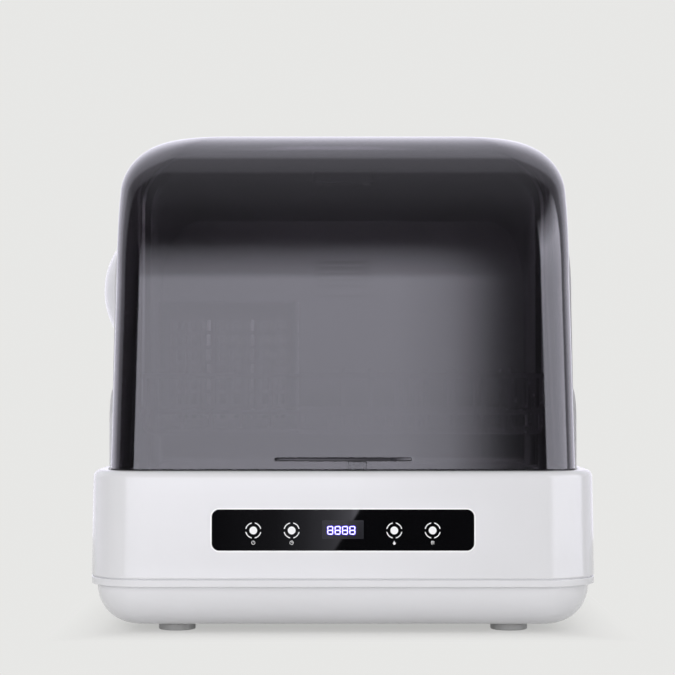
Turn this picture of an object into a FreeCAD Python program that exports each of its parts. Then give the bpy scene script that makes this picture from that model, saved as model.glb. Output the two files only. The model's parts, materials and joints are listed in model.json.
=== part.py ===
import FreeCAD
import Part
import math
import os

# Countertop dishwasher with a smoked lid that swings up over a rear housing.
# Millimetres. X runs to the right, -Y is the front, +Z is up.
# The origin is on the worktop, under the middle of the machine's outer box.

os.makedirs("parts", exist_ok=True)
V = FreeCAD.Vector
X_AXIS = V(1, 0, 0)
Y_AXIS = V(0, 1, 0)
Z_AXIS = V(0, 0, 1)

# Overall sizes
base_half_width = 215.0
base_front = -196.0
base_back = 176.0
base_corner = 50.0
base_draft = 1.5
foot_height = 7.0
pan_top = 41.4
seam_height = 47.5
rim_height = 138.0
rim_round = 6.0
wall = 3.0
thin_wall = 2.5
lid_shoulder = 16.0
lid_corner = 34.0

# Clearances
rest_gap = 0.3
running_gap = 0.05
side_gap = 1.0

# Hinge line and the dome that is turned about it
hinge_y = 38.0
hinge_z = 299.0
lid_radius = 138.0
lid_side_curve = 58.0
lid_taper = 4.5
lid_nose = 150.0
lid_top_corner = 44.0
dome_gap = 4.0
lid_boss_radius = 26.0
pin_radius = 6.0
rim_y = 13.0
liner_radius = 113.7
liner_half_width = 181.0
liner_side_curve = 40.0
liner_back = 124.0

# Sizes that follow from the ones above
lid_half_width = base_half_width - lid_shoulder
lid_hinge_half = lid_half_width - lid_taper
lid_front = base_front + lid_shoulder
dome_radius = lid_radius - wall - dome_gap
dome_half_width = lid_hinge_half - wall - side_gap
dome_side_curve = dome_half_width - (lid_hinge_half - lid_side_curve)
shoulder_under = rim_height - wall
lid_bottom = rim_height + 0.2


# Basic solids

def box(x, y, z):
    """A box from three (low, high) pairs."""
    return Part.makeBox(x[1] - x[0], y[1] - y[0], z[1] - z[0], V(x[0], y[0], z[0]))


def rod(radius, start, direction, length):
    """A cylinder from its start point along a direction."""
    return Part.makeCylinder(radius, length, V(*start), direction)


def tube(outer, inner, start, direction, length):
    """A cylinder with a bore."""
    return rod(outer, start, direction, length).cut(rod(inner, start, direction, length))


def rounded_wire(x, y, z, front_radius, back_radius):
    """A closed rectangle in plan with round corners."""
    x0, x1 = x
    y0, y1 = y
    corners = [
        (V(x1 - front_radius, y0 + front_radius, z), front_radius, -90),
        (V(x1 - back_radius, y1 - back_radius, z), back_radius, 0),
        (V(x0 + back_radius, y1 - back_radius, z), back_radius, 90),
        (V(x0 + front_radius, y0 + front_radius, z), front_radius, 180),
    ]
    arcs = []
    for centre, radius, start in corners:
        arcs.append(arc_about(centre, radius, start, start + 90))
    edges = []
    for index, arc in enumerate(arcs):
        following = arcs[(index + 1) % 4]
        edges.append(arc)
        edges.append(Part.makeLine(arc.Vertexes[-1].Point, following.Vertexes[0].Point))
    return Part.Wire(edges)


def arc_about(centre, radius, start_deg, end_deg):
    """An arc in a level plane, through three points."""
    points = []
    for angle in (start_deg, (start_deg + end_deg) / 2, end_deg):
        turn = math.radians(angle)
        points.append(centre + V(radius * math.cos(turn), radius * math.sin(turn), 0))
    return Part.Arc(*points).toShape()


def slab(x, y, z, front_radius, back_radius=None):
    """A plate with round corners in plan."""
    back_radius = front_radius if back_radius is None else back_radius
    face = Part.Face(rounded_wire(x, y, z[0], front_radius, back_radius))
    return face.extrude(V(0, 0, z[1] - z[0]))


def edges_at(shape, height, tolerance=0.01):
    """All edges that lie level at one height."""
    found = []
    for edge in shape.Edges:
        bounds = edge.BoundBox
        if abs(bounds.ZMin - height) < tolerance and abs(bounds.ZMax - height) < tolerance:
            found.append(edge)
    return found


def mirrored(shape):
    """The same shape on the other side of the machine."""
    return shape.mirror(V(0, 0, 0), X_AXIS)


def both_sides(shape):
    return [shape, mirrored(shape)]


def joined(shapes):
    """One solid from touching or crossing solids."""
    first = shapes[0]
    result = first.multiFuse(shapes[1:]) if len(shapes) > 1 else first
    return result.removeSplitter()


def save(node, shape):
    """Write one node, as one solid or as a group of separate solids."""
    solids = shape if isinstance(shape, list) else shape.Solids
    body = Part.makeCompound(solids) if len(solids) > 1 else solids[0]
    body.exportStep("parts/" + node + ".step")
    bounds = body.BoundBox
    state = "ok" if body.isValid() else "NOT VALID"
    print(
        f"{node:24s} {len(solids):3d} solids {body.Volume / 1000:9.2f} cm3 {state}"
        f"  x {bounds.XMin:7.1f} {bounds.XMax:7.1f}  y {bounds.YMin:7.1f} {bounds.YMax:7.1f}"
        f"  z {bounds.ZMin:6.1f} {bounds.ZMax:6.1f}"
    )


def inset_x(amount):
    return (-base_half_width + amount, base_half_width - amount)


def inset_y(amount):
    return (base_front + amount, base_back - amount)


# Base pan: a bowl with a level flange that the housing stands on

pan_inset = 5.0
pan_round = 33.0
screw_radius = 1.9
screw_head_radius = 3.6
boss_radius = 5.0
case_boss_inset = 14.0
case_boss_y = (base_front + 48.0, (base_front + base_back) / 2, base_back - 48.0)
foot_inset_x = 72.0
foot_inset_y = 62.0
foot_radius = 15.8
foot_seat = 1.2
case_bosses = [
    (side * (base_half_width - case_boss_inset), y) for side in (-1, 1) for y in case_boss_y
]
feet = [
    (side * (base_half_width - foot_inset_x), y)
    for side in (-1, 1)
    for y in (base_front + foot_inset_y, base_back - foot_inset_y)
]
pan_floor = foot_height + wall


def pan_bowl(inset, low, high, rounding):
    """A round bottomed block, the outside or the inside of the pan."""
    block = slab(inset_x(inset), inset_y(inset), (low, high), base_corner - inset)
    return block.makeFillet(rounding, edges_at(block, low))


def base_pan():
    outside = pan_bowl(pan_inset, foot_height, pan_top, pan_round)
    flange = slab(inset_x(0), inset_y(0), (pan_top, seam_height), base_corner)
    flange = flange.makeFillet(0.8, edges_at(flange, pan_top) + edges_at(flange, seam_height))
    inside = pan_bowl(pan_inset + wall, pan_floor, seam_height, pan_round - wall)
    shell = outside.fuse(flange).cut(inside)
    bosses = []
    for x, y in case_bosses:
        boss = rod(boss_radius, (x, y, foot_height + 6), Z_AXIS, seam_height - foot_height - 6)
        bosses.append(boss.common(outside.fuse(flange)))
    for x, y in feet:
        bosses.append(rod(boss_radius, (x, y, foot_height + 1), Z_AXIS, 11))
    shell = joined([shell] + bosses)
    for x, y in case_bosses:
        shell = shell.cut(rod(screw_radius + 0.3, (x, y, 0), Z_AXIS, 60))
        shell = shell.cut(rod(screw_head_radius + 0.4, (x, y, 0), Z_AXIS, seam_height - 12))
    for x, y in feet:
        shell = shell.cut(rod(foot_radius + 0.2, (x, y, 0), Z_AXIS, foot_height + foot_seat))
        shell = shell.cut(rod(screw_radius, (x, y, 0), Z_AXIS, foot_height + 10))
    return shell


def rubber_feet():
    """Round feet in shallow seats, each with a sunk hole for its screw."""
    result = []
    for x, y in feet:
        foot = rod(foot_radius, (x, y, 0), Z_AXIS, foot_height + foot_seat)
        foot = foot.makeFillet(1.2, edges_at(foot, 0))
        foot = foot.cut(rod(screw_radius + 0.2, (x, y, 0), Z_AXIS, 20))
        result.append(foot.cut(rod(screw_head_radius + 0.4, (x, y, 0), Z_AXIS, 4)))
    return result


def screw(x, y, z, length, direction=Z_AXIS):
    """A pan head screw; the point is where its head meets the work."""
    start = V(x, y, z)
    head_start = start - direction * 2.0
    head = Part.makeCylinder(screw_head_radius, 2.0, head_start, direction)
    shank = Part.makeCylinder(screw_radius, length, start, direction)
    recess = Part.makeCylinder(1.4, 1.2, head_start, direction)
    return head.fuse(shank).removeSplitter().cut(recess)


def foot_screws():
    return [screw(x, y, 4.0, 12.5) for x, y in feet]


# Base housing: the drafted wall, its rounded shoulder and the place for the control glass

housing_opening = lid_shoulder - 0.8
glass_half_width = 109.5
glass_low = 71.9
glass_high = 106.3
glass_corner = 6.2
glass_thickness = 2.0
bezel_width = 1.4
bezel_proud = 0.3
glass_middle = (glass_low + glass_high) / 2
panel_face_y = base_front + base_draft * (glass_middle - seam_height) / (rim_height - seam_height)
glass_front_y = panel_face_y + 0.1
glass_back_y = glass_front_y + glass_thickness
panel_back_y = glass_back_y + 3.0
window_half_width = 96.0
window_half_height = 12.0
board_boss_length = 6.0
board_front_y = panel_back_y + board_boss_length
board_thickness = 1.6
board_half_width = 104.0
board_half_height = 15.5
board_hole_x = 100.0

inlet_x = -120.0
inlet_z = 92.0
inlet_radius = 13.2
spigot_step = 0.6
mains_x = 110.0
mains_z = 92.0
mains_half_width = 14.0
mains_half_height = 10.0
drain_y = 110.0
drain_z = 74.0
drain_radius = 9.0
outer_reach_x = 226.0
outer_reach_y = 196.0


def upright_plate(x, z, y, radius):
    """A plate with round corners that stands across the front."""
    plate = slab(x, z, (0, y[1] - y[0]), radius)
    plate.rotate(V(0, 0, 0), X_AXIS, 90)
    plate.translate(V(0, y[1], 0))
    return plate


def drafted_block(inset, low, high):
    """The body of the housing between two heights, leaning in as it rises."""
    wires = []
    for height in (low, high):
        lean = base_draft * (height - seam_height) / (rim_height - seam_height)
        amount = inset + lean
        wires.append(rounded_wire(inset_x(amount), inset_y(amount), height, base_corner - amount,
                                  base_corner - amount))
    return Part.makeLoft(wires, True, True)


def base_housing():
    outside = drafted_block(0, seam_height, rim_height)
    outside = outside.makeFillet(rim_round, edges_at(outside, rim_height))
    groove = drafted_block(-1, seam_height, seam_height + 0.9)
    groove = groove.cut(drafted_block(0.8, seam_height, seam_height + 0.9))
    inside = drafted_block(wall, seam_height, shoulder_under)
    opening = slab(inset_x(housing_opening), inset_y(housing_opening),
                   (shoulder_under - 1, rim_height + 1), base_corner - housing_opening)
    shell = outside.cut(groove).cut(inside).cut(opening)
    extras = [upright_plate((-glass_half_width - 5, glass_half_width + 5),
                            (glass_low - 5, glass_high + 5),
                            (panel_face_y + 1, panel_back_y), glass_corner)]
    for x in (-board_hole_x, board_hole_x):
        for z in (glass_middle - 11, glass_middle + 11):
            extras.append(rod(3.4, (x, panel_back_y - 1, z), Y_AXIS, board_boss_length + 1))
    for x, y in case_bosses:
        side = math.copysign(1, x)
        extras.append(rod(boss_radius, (x, y, seam_height), Z_AXIS, 30))
        reach = sorted((x, side * (base_half_width - 2)))
        extras.append(box(reach, (y - 1.5, y + 1.5), (seam_height + 1, seam_height + 30)))
    shell = joined([shell] + extras)
    for x, y in case_bosses:
        shell = shell.cut(rod(screw_radius + running_gap, (x, y, seam_height - 1), Z_AXIS, 26))
    for x in (-board_hole_x, board_hole_x):
        for z in (glass_middle - 11, glass_middle + 11):
            start = (x, board_front_y - 5.5, z)
            shell = shell.cut(rod(1.3 + running_gap, start, Y_AXIS, 6))
    shell = shell.cut(upright_plate(
        (-glass_half_width - bezel_width, glass_half_width + bezel_width),
        (glass_low - bezel_width, glass_high + bezel_width),
        (base_front - 5, glass_back_y), glass_corner + bezel_width))
    shell = shell.cut(upright_plate(
        (-window_half_width, window_half_width),
        (glass_middle - window_half_height, glass_middle + window_half_height),
        (base_front, panel_back_y + 1), 3))
    shell = shell.cut(rod(inlet_radius + 0.5, (inlet_x, base_back - 20, inlet_z), Y_AXIS, 40))
    shell = shell.cut(box((mains_x - mains_half_width - 0.3, mains_x + mains_half_width + 0.3),
                          (base_back - 20, base_back + 20),
                          (mains_z - mains_half_height - 0.3, mains_z + mains_half_height + 0.3)))
    return shell.cut(rod(drain_radius + 0.5, (base_half_width - 20, drain_y, drain_z), X_AXIS, 40))


def case_screws():
    return [screw(x, y, seam_height - 12, 26) for x, y in case_bosses]


# Control panel: bezel, glass, board, display and touch springs

key_x = (-74.8, -42.8, 42.8, 74.8)
key_z = 88.8
display_half_width = 17.3
display_half_height = 7.8
display_z = 89.5


def panel_bezel():
    ring = upright_plate((-glass_half_width - bezel_width + 0.05, glass_half_width + bezel_width - 0.05),
                         (glass_low - bezel_width + 0.05, glass_high + bezel_width - 0.05),
                         (panel_face_y - bezel_proud, glass_back_y), glass_corner + bezel_width)
    return ring.cut(upright_plate((-glass_half_width, glass_half_width), (glass_low, glass_high),
                                  (panel_face_y - 2, glass_back_y + 1), glass_corner))


def control_glass():
    return upright_plate((-glass_half_width + 0.05, glass_half_width - 0.05),
                         (glass_low + 0.05, glass_high - 0.05),
                         (glass_front_y, glass_back_y), glass_corner)


def control_board():
    board = upright_plate((-board_half_width, board_half_width),
                          (glass_middle - board_half_height, glass_middle + board_half_height),
                          (board_front_y, board_front_y + board_thickness), 2)
    chips = [
        box((-30, -18), (board_front_y + board_thickness, board_front_y + 3.6), (80, 92)),
        box((22, 34), (board_front_y + board_thickness, board_front_y + 6.0), (80, 96)),
    ]
    board = joined([board] + chips)
    for x in (-board_hole_x, board_hole_x):
        for z in (glass_middle - 11, glass_middle + 11):
            board = board.cut(rod(1.5, (x, board_front_y - 1, z), Y_AXIS, 4))
    return board


def board_screws():
    """Small screws that hold the control board on its four posts."""
    result = []
    for x in (-board_hole_x, board_hole_x):
        for z in (glass_middle - 11, glass_middle + 11):
            back = board_front_y + board_thickness
            head = rod(2.5, (x, back, z), Y_AXIS, 1.6)
            result.append(head.fuse(rod(1.3, (x, back - 6.5, z), Y_AXIS, 6.5)).removeSplitter())
    return result


def display_module():
    """The four digit light block that shines through the glass."""
    return box((-display_half_width, display_half_width), (glass_back_y, board_front_y),
               (display_z - display_half_height, display_z + display_half_height))


def touch_springs():
    """Four sprung pads between the board and the glass."""
    result = []
    for x in key_x:
        pad = rod(6, (x, glass_back_y, key_z), Y_AXIS, 1)
        stem = rod(3, (x, glass_back_y, key_z), Y_AXIS, board_front_y - glass_back_y)
        result.append(pad.fuse(stem).removeSplitter())
    return result


# Arched shapes that the lid, rear housing and liner share

def dome_face(radius, half_width, side_curve):
    """The arch above the hinge line, a face in the upright plane through it."""
    flat = half_width - side_curve
    spring = radius - side_curve
    middle = side_curve * math.sqrt(0.5)
    base = V(0, hinge_y, hinge_z)
    edges = [
        Part.makeLine(base - V(half_width, 0, 0), base + V(half_width, 0, 0)),
        Part.makeLine(base + V(-flat, 0, radius), base + V(flat, 0, radius)),
    ]
    for side in (-1, 1):
        edges.append(Part.makeLine(base + V(side * half_width, 0, 0),
                                   base + V(side * half_width, 0, spring)))
        edges.append(Part.Arc(base + V(side * half_width, 0, spring),
                              base + V(side * (flat + middle), 0, spring + middle),
                              base + V(side * flat, 0, radius)).toShape())
    return Part.Face(Part.Wire(Part.__sortEdges__(edges)))


def arched_block(radius, half_width, side_curve, front, back, foot):
    """An arch from the front plane to the hinge, then a dome, with straight sides below."""
    face = dome_face(radius, half_width, side_curve)
    moved = face.copy()
    moved.translate(V(0, front - hinge_y, 0))
    tunnel = moved.extrude(V(0, hinge_y - front, 0))
    turned = face.revolve(V(0, hinge_y, hinge_z), V(-1, 0, 0), 90)
    level = face.copy()
    level.rotate(V(0, hinge_y, hinge_z), V(-1, 0, 0), 90)
    legs = level.extrude(V(0, 0, foot - hinge_z))
    front_legs = box((-half_width, half_width), (front, hinge_y), (foot, hinge_z))
    block = tunnel.fuse(turned).fuse(legs).fuse(front_legs)
    if back < hinge_y + radius:
        block = block.common(box((-300, 300), (front, back), (foot, 600)))
    return block.removeSplitter()


def rear_housing():
    outside = arched_block(dome_radius, dome_half_width, dome_side_curve, rim_y, 400, rim_height)
    inside = arched_block(dome_radius - wall, dome_half_width - wall, dome_side_curve - wall,
                          rim_y - 1, 400, rim_height - 1)
    return outside.cut(inside)


def hood_wire(height, half_width, front, back, corner):
    """A level section of the lid: round in front, open edge straight at the hinge."""
    right_start = V(half_width, back, height)
    right_end = V(half_width, front + corner, height)
    left_end = V(-half_width, front + corner, height)
    arc_right = arc_about(V(half_width - corner, front + corner, height), corner, 0, -90)
    arc_left = arc_about(V(corner - half_width, front + corner, height), corner, -90, -180)
    edges = [
        Part.makeLine(right_start, right_end),
        arc_right,
        Part.makeLine(arc_right.Vertexes[-1].Point, arc_left.Vertexes[0].Point),
        arc_left,
        Part.makeLine(left_end, V(-half_width, back, height)),
        Part.makeLine(V(-half_width, back, height), right_start),
    ]
    return Part.Wire(edges)


def hood_block(shrink, foot):
    """The lid as a full block, or its inside when it is shrunk by the wall."""
    radius = lid_radius - shrink
    flat = lid_hinge_half - lid_side_curve
    curve = lid_side_curve - shrink
    nose_centre = lid_front + lid_nose
    wires = []
    steps = 18
    for step in range(steps + 1):
        turn = math.radians(90.0 * step / steps)
        rise = max(0, radius * math.sin(turn) - lid_radius + lid_side_curve)
        half_width = flat + math.sqrt(max(0, curve ** 2 - rise ** 2))
        front = nose_centre - (lid_nose - shrink) * math.cos(turn)
        corner = (lid_corner - shrink) * math.cos(turn) + lid_top_corner * (1 - math.cos(turn))
        wires.append(hood_wire(hinge_z + radius * math.sin(turn), half_width, front, hinge_y, corner))
    crown = Part.makeLoft(wires, True, False)
    spread = lid_taper * (hinge_z - foot) / (hinge_z - lid_bottom)
    widest = hood_wire(foot, flat + curve + spread, lid_front + shrink, hinge_y,
                       lid_corner - shrink)
    skirt = Part.makeLoft([widest, wires[0]], True, True)
    return crown, skirt


def lid_shell():
    crown, skirt = hood_block(0, lid_bottom)
    crown_inside, skirt_inside = hood_block(wall, lid_bottom - 1)
    pivot = (lid_hinge_half - wall, hinge_y, hinge_z)
    boss = rod(lid_boss_radius, pivot, X_AXIS, lid_taper + wall)
    shell = crown.fuse(skirt).cut(crown_inside.fuse(skirt_inside))
    shell = joined([shell.cut(box((-300, 300), (hinge_y, 300), (0, 600)))] + both_sides(boss))
    hole = rod(pin_radius, (pivot[0] - 1, hinge_y, hinge_z), X_AXIS, lid_taper + wall + 2)
    for cut in both_sides(hole):
        shell = shell.cut(cut)
    return shell



# Chamber liner, its seal and its lamp

liner_curve_outer = liner_side_curve + thin_wall
seal_depth = 4.0
grille_half_width = 30.0
grille_low = 305.0
grille_high = 335.0
lamp_half_width = 29.0
lamp_front = rim_y + 5.0
lamp_depth = 22.0
lamp_height = 11.0
ceiling = hinge_z + liner_radius


def chamber_liner():
    outside = arched_block(liner_radius + thin_wall, liner_half_width + thin_wall, liner_curve_outer,
                           rim_y, liner_back + thin_wall, rim_height)
    inside = arched_block(liner_radius, liner_half_width, liner_side_curve,
                          rim_y - 1, liner_back, rim_height - 1)
    rim = arched_block(dome_radius - wall - 0.1, dome_half_width - wall - 0.1,
                       dome_side_curve - wall, rim_y, rim_y + thin_wall, rim_height)
    liner = outside.fuse(rim).cut(inside).removeSplitter()
    return liner.cut(box((-grille_half_width, grille_half_width), (liner_back - 5, liner_back + 5),
                         (grille_low, grille_high)))


def chamber_seal():
    """A soft lip round the housing's rim that the closed lid lies against."""
    crown, skirt = hood_block(wall + rest_gap, rim_height)
    outside = crown.fuse(skirt).common(box((-300, 300), (rim_y, rim_y + seal_depth), (0, 600)))
    inside = arched_block(dome_radius, dome_half_width, dome_side_curve,
                          rim_y - 1, rim_y + seal_depth + 1, rim_height - 1)
    seal = outside.cut(inside)
    pivot = (lid_hinge_half - wall - rest_gap, hinge_y, hinge_z)
    for cut in both_sides(rod(lid_boss_radius + rest_gap, pivot, X_AXIS, lid_taper)):
        seal = seal.cut(cut)
    return seal


def lamp_lens():
    outside = slab((-lamp_half_width, lamp_half_width), (lamp_front, lamp_front + lamp_depth),
                   (ceiling - lamp_height, ceiling), 4)
    outside = outside.makeFillet(2.5, edges_at(outside, ceiling - lamp_height))
    return outside.cut(slab((-lamp_half_width + 2, lamp_half_width - 2),
                            (lamp_front + 2, lamp_front + lamp_depth - 2),
                            (ceiling - lamp_height + 2, ceiling + 1), 2.5))


def lamp_board():
    middle = lamp_front + lamp_depth / 2
    plate = box((-lamp_half_width + 3, lamp_half_width - 3), (middle - 6, middle + 6),
                (ceiling - 1.6, ceiling))
    dots = [box((x - 1.7, x + 1.7), (middle - 1.7, middle + 1.7), (ceiling - 3, ceiling - 1.5))
            for x in (-18, -6, 6, 18)]
    return joined([plate] + dots)


def vent_grille():
    edge = 6.0
    plate = upright_plate((-grille_half_width - edge, grille_half_width + edge),
                          (grille_low - edge, grille_high + edge),
                          (liner_back - thin_wall, liner_back), 5)
    slots = 5
    pitch = (grille_high - grille_low) / slots
    for index in range(slots):
        low = grille_low + pitch * (index + 0.25)
        plate = plate.cut(upright_plate((-grille_half_width + 2, grille_half_width - 2),
                                        (low, low + pitch / 2),
                                        (liner_back - 5, liner_back + 5), 1.4))
    return plate


# Hinge arms, pins, bushes, damper and caps

arm_inner = lid_half_width + side_gap + 0.1
arm_outer = 212.0
arm_front = -46.0
arm_back = 104.0
arm_shoulder = 207.0
cap_radius = 43.0
bush_radius = 9.0
bush_flange_radius = 13.0
damper_radius = 20.0
damper_length = 8.0
left_pin_end = arm_outer + damper_length - 2.0
right_pin_end = arm_outer - 0.5
pin_start = lid_hinge_half - wall


def side_plate(y, z, x, radius):
    """A plate with round corners that stands along the side."""
    plate = slab(y, z, (0, x[1] - x[0]), radius)
    plate.rotate(V(0, 0, 0), V(1, 1, 1), 120)
    plate.translate(V(x[0], 0, 0))
    return plate


def side_polygon(points, x):
    """A flat shape in the side view, from x low to x high."""
    corners = [V(x[0], y, z) for y, z in points]
    face = Part.Face(Part.makePolygon(corners + [corners[0]]))
    return face.extrude(V(x[1] - x[0], 0, 0))


def arm_block(shrink, x):
    """The side view of a hinge arm: a broad foot that narrows to a round head."""
    foot = side_plate((arm_front + shrink, arm_back - shrink),
                      (rim_height - 40 + shrink, arm_shoulder - shrink), x, 30 - shrink)
    head = rod(cap_radius - shrink, (x[0], hinge_y, hinge_z), X_AXIS, x[1] - x[0])
    neck = side_polygon([(arm_front + 24 + shrink, arm_shoulder - 12),
                         (arm_back - 24 - shrink, arm_shoulder - 12),
                         (hinge_y + cap_radius - shrink, hinge_z),
                         (hinge_y - cap_radius + shrink, hinge_z)], x)
    return joined([foot, neck, head])


def hinge_arm():
    block = arm_block(0, (arm_inner, arm_outer))
    hollow = arm_block(wall, (arm_inner - 1, arm_outer - wall))
    boss = rod(damper_radius, (arm_inner, hinge_y, hinge_z), X_AXIS, arm_outer - arm_inner)
    arm = joined([block.cut(hollow), boss])
    arm = arm.cut(rod(bush_radius + running_gap, (arm_inner - 1, hinge_y, hinge_z), X_AXIS, 30))
    below = drafted_block(0, seam_height, rim_height)
    below = below.makeFillet(rim_round, edges_at(below, rim_height))
    arm = arm.cut(below).cut(box((150, 300), (-300, 300), (0, rim_height - rim_round)))
    return max(arm.Solids, key=lambda solid: solid.Volume)


def hinge_pins():
    """Two pins fixed in the lid; the left one also turns the damper."""
    right = rod(pin_radius, (pin_start, hinge_y, hinge_z), X_AXIS, right_pin_end - pin_start)
    left = rod(pin_radius, (-left_pin_end, hinge_y, hinge_z), X_AXIS, left_pin_end - pin_start)
    return [left, right]


def hinge_bushes():
    start = lid_half_width + rest_gap
    sleeve = rod(bush_radius, (arm_inner, hinge_y, hinge_z), X_AXIS, arm_outer - arm_inner)
    flange = rod(bush_flange_radius, (start, hinge_y, hinge_z), X_AXIS, arm_inner - start)
    bush = joined([sleeve, flange])
    bush = bush.cut(rod(pin_radius + running_gap, (start - 1, hinge_y, hinge_z), X_AXIS, 30))
    return both_sides(bush)


def lid_damper():
    """A rotary damper on the left arm that slows the lid."""
    body = rod(damper_radius, (arm_outer, hinge_y, hinge_z), X_AXIS, damper_length)
    bore = rod(pin_radius + running_gap, (arm_outer - 1, hinge_y, hinge_z), X_AXIS, damper_length - 0.5)
    return mirrored(body.cut(bore))


def damper_cap():
    rise = outer_reach_x - arm_outer
    ball = (cap_radius ** 2 + rise ** 2) / (2 * rise)
    centre = V(outer_reach_x - ball, hinge_y, hinge_z)
    keep = box((arm_outer, outer_reach_x + 1), (-50, 150), (200, 400))
    outside = Part.makeSphere(ball, centre).common(keep)
    return mirrored(outside.cut(Part.makeSphere(ball - thin_wall, centre)))


def hinge_cap_right():
    cap = rod(damper_radius + 4, (arm_outer, hinge_y, hinge_z), X_AXIS, 2.6)
    return cap.makeFillet(1.2, [edge for edge in cap.Edges if edge.BoundBox.XMin > arm_outer + 2])


# Lid furniture: the finger ledge, the catch with its magnet, and the seal it closes on

ledge_half_width = 58.0
ledge_reach = 9.0
ledge_low = 146.0
ledge_thickness = 3.0
catch_x = 12.0
catch_half_width = 7.75
catch_height = 7.0
catch_depth = 4.0
magnet_size = (10.0, 2.4, 4.0)


def lid_handle():
    oval = Part.Ellipse(V(0, lid_front, ledge_low), ledge_half_width, ledge_reach)
    plate = Part.Face(Part.Wire(oval.toShape())).extrude(V(0, 0, ledge_thickness))
    plate = plate.common(box((-100, 100), (lid_front - 50, lid_front), (0, 300)))
    outer_edges = [edge for edge in plate.Edges
                   if edge.BoundBox.ZLength < 0.01 and edge.BoundBox.YLength > 1]
    return plate.makeFillet(1.0, outer_edges)


def lid_catch():
    back = lid_front + wall
    low = lid_bottom + 0.3
    block = box((catch_x - catch_half_width, catch_x + catch_half_width), (back, back + catch_depth),
                (low, low + catch_height))
    return block.cut(magnet_block(0.0))


def magnet_block(extra):
    back = lid_front + wall
    width, depth, height = magnet_size
    low = lid_bottom + 0.3
    return box((catch_x - width / 2 - extra, catch_x + width / 2 + extra),
               (back, back + depth), (low, low + height))


def lid_magnet():
    return magnet_block(0.0)


def lid_gasket():
    """A flat rubber strip on the tub's flange, under the lid's edge."""
    outer = lid_shoulder - 0.1
    inner = lid_shoulder + 4.5
    z = (shoulder_under, rim_height - 0.1)
    strip = slab(inset_x(outer), inset_y(outer), z, base_corner - outer)
    strip = strip.cut(slab(inset_x(inner), inset_y(inner), z, base_corner - inner))
    return strip.common(box((-300, 300), (-300, rim_y - 2), (0, 300)))


def lid_switch():
    """A sealed magnetic switch under the tub's flange, in line with the lid's magnet."""
    return box((catch_x - 8, catch_x + 8), (lid_front + 1, lid_front + 9),
               (shoulder_under - wall - 6, shoulder_under - wall))


# Wash tub with its plinth, sump and filters

mouth_half_width = 172.0
mouth_front = -164.0
mouth_back = 120.0
mouth_front_corner = 30.0
mouth_back_corner = 45.0
tub_floor = 94.5
tub_under = tub_floor - thin_wall
flange_under = shoulder_under - wall
flange_inset = 9.4
spray_y = -22.0
sump_x = 100.0
sump_y = 52.0
sump_radius = 46.0
sump_bottom = 44.0
plate_radius = 56.0
plate_thickness = 1.0
micro_radius = 24.0
micro_flange = 27.0
micro_bottom = 60.0
riser_radius = 12.0
riser_bore = 8.0
drain_pump_y = 70.0
drain_pump_z = 58.0
wash_pump_z = 60.0
heater_ring = 84.0
heater_wire = 4.0
heater_z = 99.9
heater_gap_deg = 14.0
tub_inlet = (-120.0, 60.0)
hose_radius = 8.0
hose_bore = 5.5


def tub_block(extra, low, high, rounding):
    block = slab((-mouth_half_width - extra, mouth_half_width + extra),
                 (mouth_front - extra, mouth_back + extra), (low, high),
                 mouth_front_corner + extra, mouth_back_corner + extra)
    return block.makeFillet(rounding, edges_at(block, low))


def wash_tub():
    outside = tub_block(thin_wall, tub_under, shoulder_under, 14)
    inside = tub_block(0, tub_floor, rim_height + 5, 11.5)
    flange = slab(inset_x(flange_inset), inset_y(flange_inset), (flange_under, shoulder_under),
                  base_corner - flange_inset)
    plinth = arched_block(dome_radius, dome_half_width, dome_side_curve, rim_y, 400, 100)
    inner = housing_opening + rest_gap
    plinth = plinth.common(slab(inset_x(inner), inset_y(inner), (shoulder_under, rim_height),
                                base_corner - inner))
    plinth = plinth.cut(arched_block(liner_radius, liner_half_width, liner_side_curve,
                                     rim_y - 1, liner_back, 100))
    nozzle = rod(hose_radius - 2, (*tub_inlet, tub_under - 8), Z_AXIS, 9)
    tub = joined([outside, flange, plinth, nozzle]).cut(inside)
    tub = tub.cut(rod(3.5, (*tub_inlet, 50), Z_AXIS, 60))
    tub = tub.cut(rod(sump_radius - thin_wall, (sump_x, sump_y, 50), Z_AXIS, 60))
    tub = tub.cut(rod(riser_radius + running_gap, (0, spray_y, 50), Z_AXIS, 60))
    for x in heater_legs():
        tub = tub.cut(rod(heater_wire + running_gap, (x, heater_leg_y(), 50), Z_AXIS, 60))
    return tub


def heater_legs():
    reach = heater_ring * math.sin(math.radians(heater_gap_deg))
    return (-reach, reach)


def heater_leg_y():
    return spray_y - heater_ring * math.cos(math.radians(heater_gap_deg))


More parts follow.
